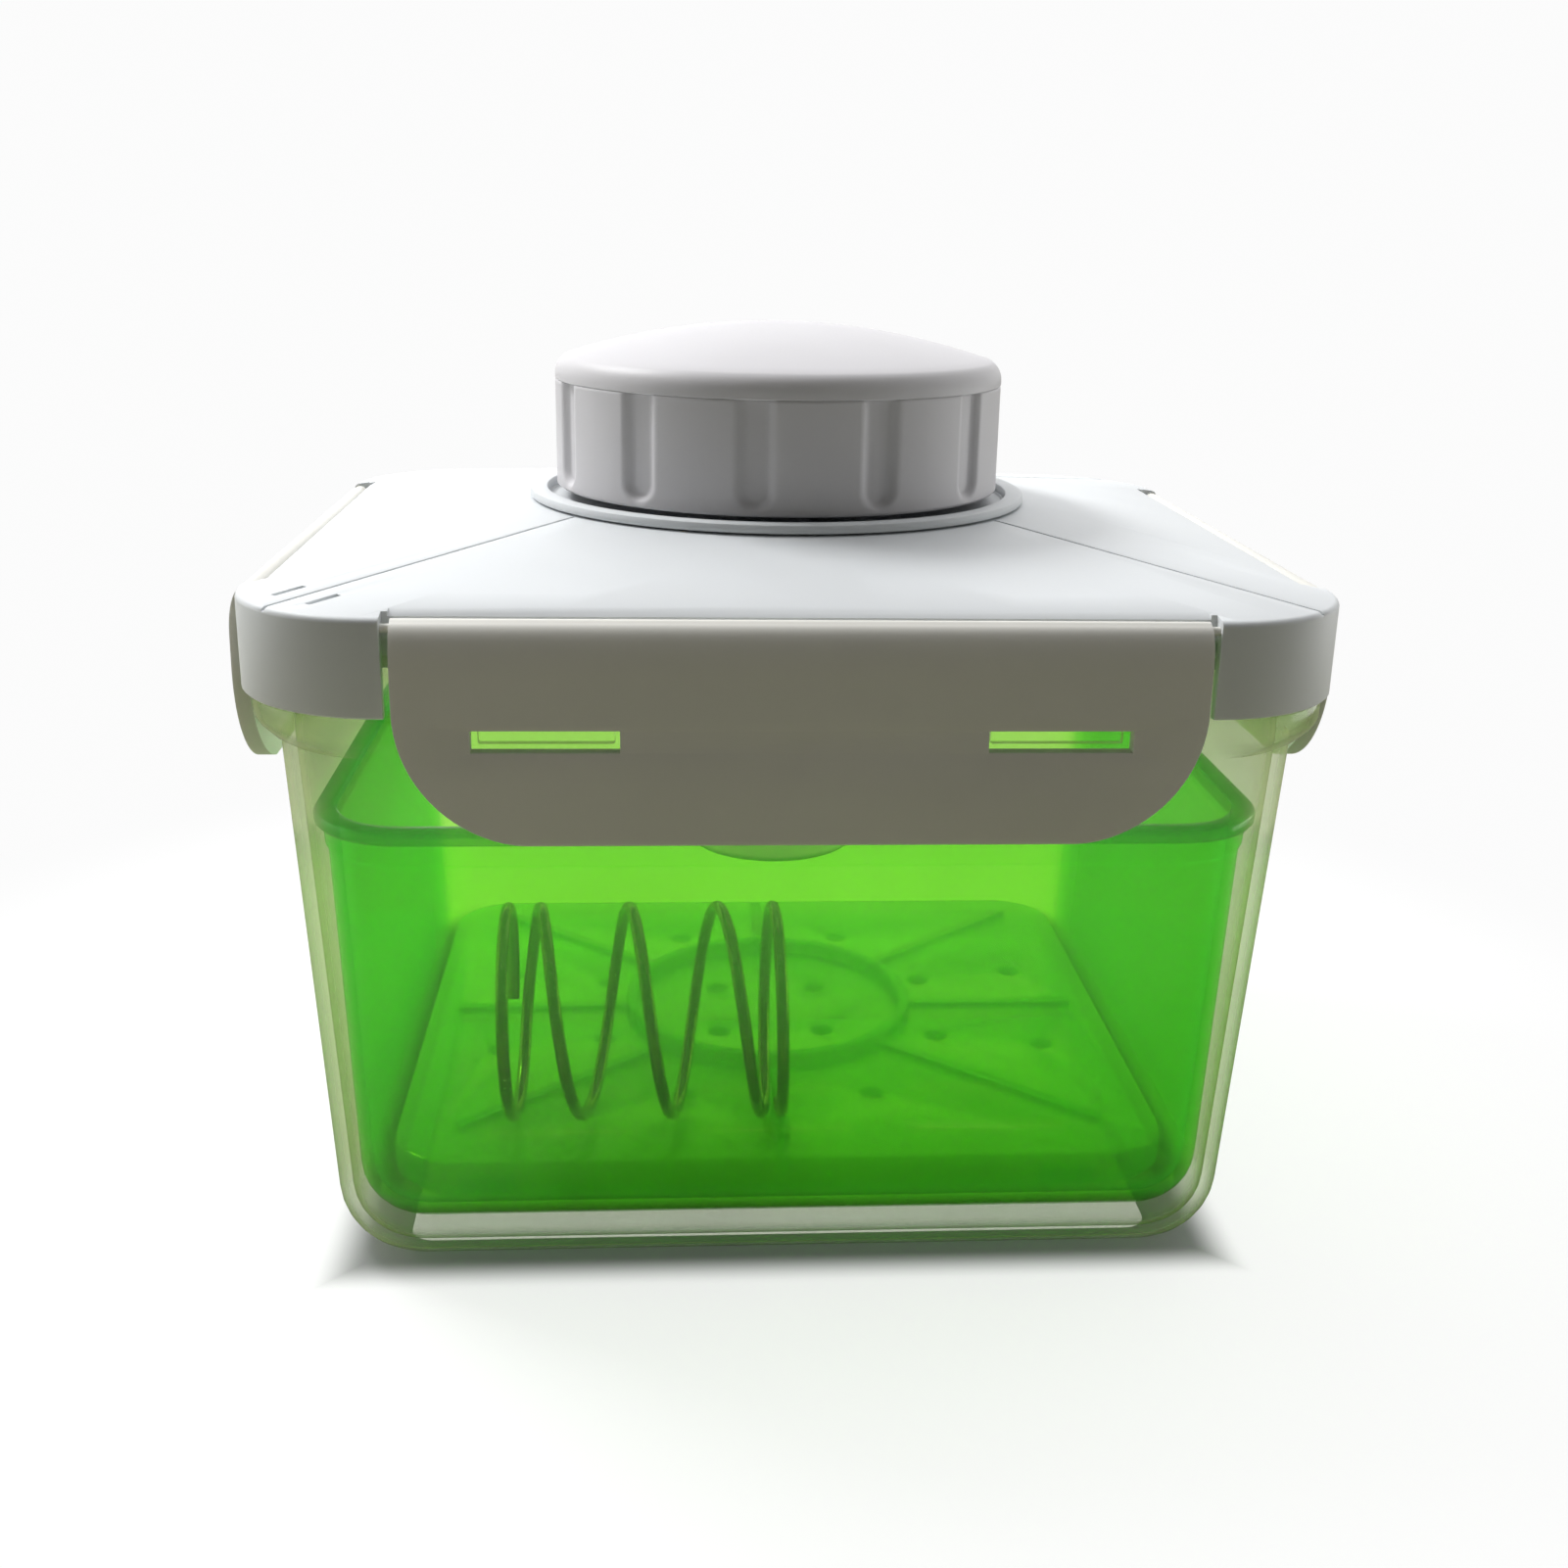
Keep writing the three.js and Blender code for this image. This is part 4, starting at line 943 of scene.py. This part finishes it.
def build_latch(node, body, half, quarter):
    profile = latch_profile()
    bottom = bottom_of("front_latch") - HINGE_Z
    corner = LATCH_CORNER
    count = len(profile)
    points = [(-half, -u, w) for u, w in profile] + [(half, -u, w) for u, w in profile]
    faces = [tuple(range(count)), tuple(reversed(range(count, 2 * count)))]
    faces += [(i, (i + 1) % count, count + (i + 1) % count, count + i) for i in range(count)]
    latch = mesh_object(node + "_fine", points, faces)
    outline = [(-half, 4), (-half, bottom + corner)]
    outline += arc((-half + corner, bottom + corner), corner, 180, 270, 20)[1:]
    outline += arc((half - corner, bottom + corner), corner, 270, 360, 20)
    outline.append((half, 4))
    front = prism("front", outline, -6, 10)
    place(front, Matrix.Rotation(math.pi / 2, 4, "X"))
    combine(latch, [front], "INTERSECT")
    window_z = [z - HINGE_Z for z in WINDOW_Z]
    windows = []
    for side in (-1, 1):
        centre = side * (half - WINDOW_FROM_END - WINDOW_HALF)
        x = (centre - WINDOW_HALF, centre + WINDOW_HALF)
        windows.append(block("slot", x, (-8, 1), window_z))
    combine(latch, windows, "DIFFERENCE")
    soften(latch, 0.4, 35, 3)
    tip = half + PIN_LENGTH
    pins = []
    for side in (-1, 1):
        pin = turned("pin", [
            (0, half - 1), (PIN_RADIUS, half - 1), (PIN_RADIUS, tip - 0.2), (PIN_RADIUS - 0.2, tip),
            (0, tip),
        ], 20)
        pins.append(place(pin, Matrix.Rotation(side * math.pi / 2, 4, "Y")))
    combine(latch, pins, "UNION")
    smooth(latch)
    reach = HINGE_OFFSET - (DEPTH_STEP if quarter % 2 == 0 else 0)
    angle = quarter * math.pi / 2
    spin = Matrix.Rotation(angle, 4, "Z")
    spin.translation = Vector((reach * math.sin(angle), -reach * math.cos(angle), HINGE_Z))
    place(latch, spin)
    return swap_in(latch, node, LATCH_WHITE, body)


# ---------------------------------------------------------------- neck, knob and plunger
def build_bushing():
    rim_top = top_of("neck_bushing")
    foot = bottom_of("neck_bushing")
    section = [
        (8.2, 117.0), (17.3, 117.0), (17.5, 116.8), (17.5, foot + 0.4), (17.9, foot),
        (20.6, foot), (21.0, foot + 0.4), (21.0, 116.6), (21.4, 117.0), (41.0, 117.0),
        (41.0, 119.7), (44.0, 119.7), (44.35, 119.8), (44.5, 120.1), (44.5, rim_top - 0.7),
        (44.3, rim_top - 0.2), (43.8, rim_top), (42.0, rim_top), (41.45, rim_top - 0.15),
        (41.2, rim_top - 0.6), (41.2, 119.8), (40.8, 119.4), (8.5, 119.4), (8.2, 119.1),
    ]
    bushing = turned("bushing", section)
    reach, half = 18.9, 2.6
    keyways = [
        block("keyway", (-reach, reach), (-half, half), (foot - 1, 116)),
        block("keyway", (-half, half), (-reach, reach), (foot - 1, 116)),
    ]
    combine(bushing, keyways, "DIFFERENCE")
    smooth(bushing)
    return swap_in(bushing, "neck_bushing", LID_WHITE, "lid")


KNOB_RADIUS = 39.6
FLUTES, FLUTE_WIDTH, FLUTE_DEPTH, FLUTE_FOOT = 12, 5.4, 1.15, 122.9
FIRST_FLUTE = math.radians(-98.5)
STEPS_PER_FLUTE = 36


def knob_radius(angle, z):
    """The knob's wall: long flutes with round lower ends."""
    radius, width, depth, first = KNOB_RADIUS, FLUTE_WIDTH, FLUTE_DEPTH, FIRST_FLUTE
    step = 2 * math.pi / FLUTES
    off = (angle - first + step / 2) % step - step / 2
    across = abs(off) * radius / (width / 2)
    foot = FLUTE_FOOT + width / 2
    below = max(0, foot - z) / (width / 2)
    reach = math.hypot(across, below)
    if reach >= 1.25:
        return radius
    share = 1 - min(reach / 1.25, 1)
    dip = min(1, share * 2.1)
    return radius - depth * dip * dip * (3 - 2 * dip)


def build_knob():
    low = bottom_of("knob_body") + 0.6
    top = top_of("knob_body")
    steps = FLUTES * STEPS_PER_FLUTE
    heights = [low + 0.4]
    z = low + 0.9
    while z < 126.5:
        heights.append(z)
        z += 0.3
    heights += [128, 131, 134, 137, top - 0.5]

    def ring(radius_at, z):
        points = []
        for i in range(steps):
            angle = 2 * math.pi * i / steps
            radius = radius_at(angle)
            points.append((radius * math.cos(angle), radius * math.sin(angle), z))
        return points

    def plain(radius, z):
        return ring(lambda angle: radius, z)

    def fluted(z, inset):
        return ring(lambda angle: knob_radius(angle, z) - inset, z)

    rings = [plain(37.2, 136.0), plain(37.2, low + 0.3), plain(37.5, low), plain(39.2, low)]
    rings += [fluted(z, 0) for z in heights]
    rings += [fluted(top - 0.15, 0), fluted(top, 0.12)]
    rings += [plain(32.3, top), plain(32.3, 138.0), plain(29.7, 138.0), plain(29.7, top)]
    rings += [plain(2.2, top), plain(2.2, 134.3)]
    rings += [plain(13.0, 134.3), plain(13.0, 136.0)]
    knob = loft("knob", rings, closed_loop=True)
    hub_low = bottom_of("knob_body")
    hub = turned("hub", [
        (0, hub_low), (12.7, hub_low), (13.0, hub_low + 0.3), (13.0, 136.4), (0, 136.4),
    ])
    square = 5.1
    socket = block("socket", (-square, square), (-square, square), (hub_low - 1, 134.3))
    combine(hub, [socket], "DIFFERENCE")
    shank = turned("shank", [(0, 130), (2.2, 130), (2.2, 142), (0, 142)], 32)
    combine(hub, [shank], "DIFFERENCE")
    ribs = []
    for third in range(3):
        rib = block("rib", (-37.6, 37.6), (-0.8, 0.8), (127.5, 136.4))
        ribs.append(place(rib, Matrix.Rotation(third * math.pi / 3, 4, "Z")))
    inner = turned("inner", [(0, 120), (12.8, 120), (12.8, 137), (0, 137)])
    combine(ribs[0], ribs[1:], "UNION")
    combine(ribs[0], [inner], "DIFFERENCE")
    combine(knob, [hub, ribs[0]], "UNION")
    smooth(knob, 40)
    return swap_in(knob, "knob_body", KNOB_WHITE, "knob")


def build_crown():
    low = 140.02
    apex = top_of("knob_crown")
    radius, edge, shoulder = KNOB_RADIUS, 3.6, 140.9
    section = [
        (0, apex - 2.4), (15, apex - 3.4), (28, low + 2.6), (30, low + 2.6), (30, low - 2.0),
        (32, low - 2.0), (32, low), (radius - 0.15, low), (radius, low + 0.15), (radius, shoulder),
    ]
    for i in range(1, 9):
        angle = math.radians(63 * i / 8)
        section.append((radius - edge + edge * math.cos(angle), shoulder + edge * math.sin(angle)))
    foot_radius, foot_z = section[-1]
    for i in range(1, 19):
        share = 1 - i / 18
        section.append((foot_radius * share, apex - (apex - foot_z) * share ** 2))
    crown = turned("crown", section, 128)
    smooth(crown, 28)
    return swap_in(crown, "knob_crown", KNOB_WHITE, "knob")


def build_plunger():
    low = bottom_of("plunger")
    top = top_of("plunger")
    radius = 16.2
    section = [(0, low), (radius - 1.6, low)]
    section += [(radius - 1.6 + x, low + 1.6 + y) for x, y in arc((0, 0), 1.6, -75, 0, 6)]
    section += [
        (radius, 75.6), (radius + 0.4, 76.0), (20.1, 76.0), (20.5, 76.4), (20.5, 78.1),
        (20.1, 78.5), (radius + 0.4, 78.5), (radius, 78.9), (radius, top - 0.3),
        (radius - 0.3, top), (0, top),
    ]
    plunger = turned("plunger_fine", section)
    reach, half = 18.6, 2.3
    keys = [
        block("key", (-reach, reach), (-half, half), (100, top)),
        block("key", (-half, half), (-reach, reach), (100, top)),
    ]
    combine(keys[0], keys[1:], "UNION")
    soften(keys[0], 0.3)
    combine(plunger, [keys[0]], "UNION")
    hollow = [
        turned("well", [(0, 110), (14.2, 110), (14.2, top + 1), (0, top + 1)]),
        turned("cavity", [(0, low + 2), (14.2, low + 2), (14.2, 98), (0, 98)]),
        turned("bore", [(0, 97), (7.3, 97), (7.3, 111), (0, 111)], 48),
    ]
    combine(plunger, hollow, "DIFFERENCE")
    smooth(plunger)
    return swap_in(plunger, "plunger", LID_WHITE, "plunger")


build_tub()
build_basket()
build_plate()
build_spring()
build_lid()
build_latch("front_latch", "latch_front", FRONT_LATCH_HALF, 0)
build_latch("right_latch", "latch_right", SIDE_LATCH_HALF, 1)
build_latch("rear_latch", "latch_rear", FRONT_LATCH_HALF, 2)
build_latch("left_latch", "latch_left", SIDE_LATCH_HALF, 3)
build_bushing()
build_knob()
build_crown()
build_plunger()

kept_looks = {
    "lid_gasket": SILICONE,
    "bushing_nut": LID_WHITE,
    "thrust_washer": ACETAL,
    "lead_screw": ACETAL,
    "spindle_screw": BRIGHT_STEEL,
    "spindle_o_ring": NITRILE,
    "retaining_ring": BRIGHT_STEEL,
}
for node, material in kept_looks.items():
    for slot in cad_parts[node].material_slots:
        slot.material = material


# ---------------------------------------------------------------- floor, light and camera
SURROUND = 0.97                  # brightness of the surround, and of the floor far from the press
CONTACT_SHADE = (-0.005, 0.004)  # painted contact shadow: metres past the tub's footprint, over which the floor's glow brightens
CONTACT_GLOW = (0.06, 0.80)
FLOOR_FADE = (0.085, 0.24)       # metres from the middle, over which it becomes the surround


def build_stage():
    """A pale floor, with a painted contact shadow where its glow dims near the tub. Light that
    bounces off it is dimmer than it looks, as on a raised table.
    """
    mesh = bpy.data.meshes.new("floor")
    reach = 6.0
    corners = [(-reach, -reach, 0), (reach, -reach, 0), (reach, reach, 0), (-reach, reach, 0)]
    mesh.from_pydata(corners, [], [(0, 1, 2, 3)])
    floor = bpy.data.objects.new("floor", mesh)
    bpy.context.scene.collection.objects.link(floor)
    material, nodes, links, surface = new_material("pale_floor")
    pale = tone(nodes, links, noise(nodes, links, 3, 2), (0.23, 0.23, 0.23), (0.24, 0.24, 0.24))
    links.new(pale, surface.inputs["Base Color"])
    surface.inputs["Roughness"].default_value = 0.9
    surface.inputs["Specular IOR Level"].default_value = 0.1
    surface.inputs["Emission Color"].default_value = (1, 1, 1, 1)

    sockets = axes(nodes, links)
    beyond = []
    for axis, half in (("X", TUB_BASE[0]), ("Y", TUB_BASE[1])):
        size = maths(nodes, links, "ABSOLUTE", sockets[axis])
        beyond.append(maths(nodes, links, "SUBTRACT", size, half * MM))
    footprint = maths(nodes, links, "MAXIMUM", *beyond)
    # painted contact shadow: the floor glows faintly at the tub's footprint and brightly just past
    # it
    strength = ramp(nodes, links, footprint, CONTACT_SHADE, CONTACT_GLOW)
    links.new(strength, surface.inputs["Emission Strength"])
    distance = nodes.new("ShaderNodeVectorMath")
    distance.operation = "LENGTH"
    coordinates = nodes.new("ShaderNodeTexCoord")
    links.new(coordinates.outputs["Object"], distance.inputs[0])
    away = ramp(nodes, links, distance.outputs["Value"], FLOOR_FADE)
    white = nodes.new("ShaderNodeEmission")
    white.inputs["Strength"].default_value = SURROUND
    faded = mix_shaders(nodes, links, away, surface.outputs["BSDF"], white.outputs["Emission"])

    dim = nodes.new("ShaderNodeBsdfDiffuse")
    dim.inputs["Color"].default_value = (0.32, 0.31, 0.235, 1)
    seen = nodes.new("ShaderNodeLightPath").outputs["Is Camera Ray"]
    mixed = mix_shaders(nodes, links, seen, dim.outputs["BSDF"], faded)
    links.new(mixed, nodes["Material Output"].inputs["Surface"])
    mesh.materials.append(material)


def build_world():
    """A white surround, which lights the front less than the back."""
    world = bpy.data.worlds.new("surround")
    bpy.context.scene.world = world
    world.use_nodes = True
    nodes, links = world.node_tree.nodes, world.node_tree.links
    background = nodes["Background"]
    light = ramp(nodes, links, axes(nodes, links, "Generated")["Y"], (-0.5, 0.5), (0.05, 1.25))
    seen = nodes.new("ShaderNodeLightPath")
    bright = nodes.new("ShaderNodeMapRange")
    links.new(seen.outputs["Is Camera Ray"], bright.inputs["Value"])
    links.new(light, bright.inputs["To Min"])
    bright.inputs["To Max"].default_value = SURROUND
    links.new(bright.outputs["Result"], background.inputs["Strength"])
    background.inputs["Color"].default_value = (1.0, 1.0, 1.0, 1)


def add_area(name, place_at, size, power, aim=(0, 0, 0.06), unseen=False):
    light = bpy.data.lights.new(name, "AREA")
    light.shape = "RECTANGLE"
    light.size, light.size_y = size
    light.energy = power
    lamp = bpy.data.objects.new(name, light)
    lamp.location = place_at
    lamp.rotation_euler = (Vector(aim) - Vector(place_at)).to_track_quat("-Z", "Y").to_euler()
    if unseen:
        lamp.visible_camera = False
        lamp.visible_glossy = False
    bpy.context.scene.collection.objects.link(lamp)


def build_camera():
    pitch, roll = math.radians(17.956), math.radians(1.115)
    yaw = 0.06896       # radians
    forward = Vector((
        math.sin(yaw) * math.cos(pitch), math.cos(yaw) * math.cos(pitch), -math.sin(pitch),
    ))
    right = Vector((math.cos(yaw), -math.sin(yaw), 0))
    up = right.cross(forward)
    rolled_right = right * math.cos(roll) + up * math.sin(roll)
    rolled_up = up * math.cos(roll) - right * math.sin(roll)
    camera = bpy.data.cameras.new("camera")
    camera.sensor_width = 36
    camera.lens = 40.04
    camera.clip_start = 0.01
    view = bpy.data.objects.new("camera", camera)
    matrix = Matrix((rolled_right, rolled_up, -forward)).transposed().to_4x4()
    matrix.translation = Vector((-0.01958, -0.31853, 0.16729))
    view.matrix_world = matrix
    bpy.context.scene.collection.objects.link(view)
    bpy.context.scene.camera = view


build_stage()
build_world()
add_area("key_softbox", (-0.46, 0.26, 0.66), (0.24, 0.24), 4.6)
add_area("overhead_softbox", (0.0, 0.37, 0.80), (1.1, 0.84), 1.9, (0, 0.37, 0))
add_area("right_fill", (0.62, 0.10, 0.05), (0.5, 0.2), 0.95)
add_area("left_fill", (-0.62, 0.05, 0.16), (0.5, 0.3), 0.30)
# the light that comes through the white lid
add_area("lid_glow", (0, 0, 0.0965), (0.13, 0.112), 0.125, (0, 0, 0), unseen=True)
build_camera()

scene = bpy.context.scene
scene.view_settings.view_transform = "Standard"
scene.cycles.max_bounces = 24
scene.cycles.transmission_bounces = 24
scene.cycles.transparent_max_bounces = 32
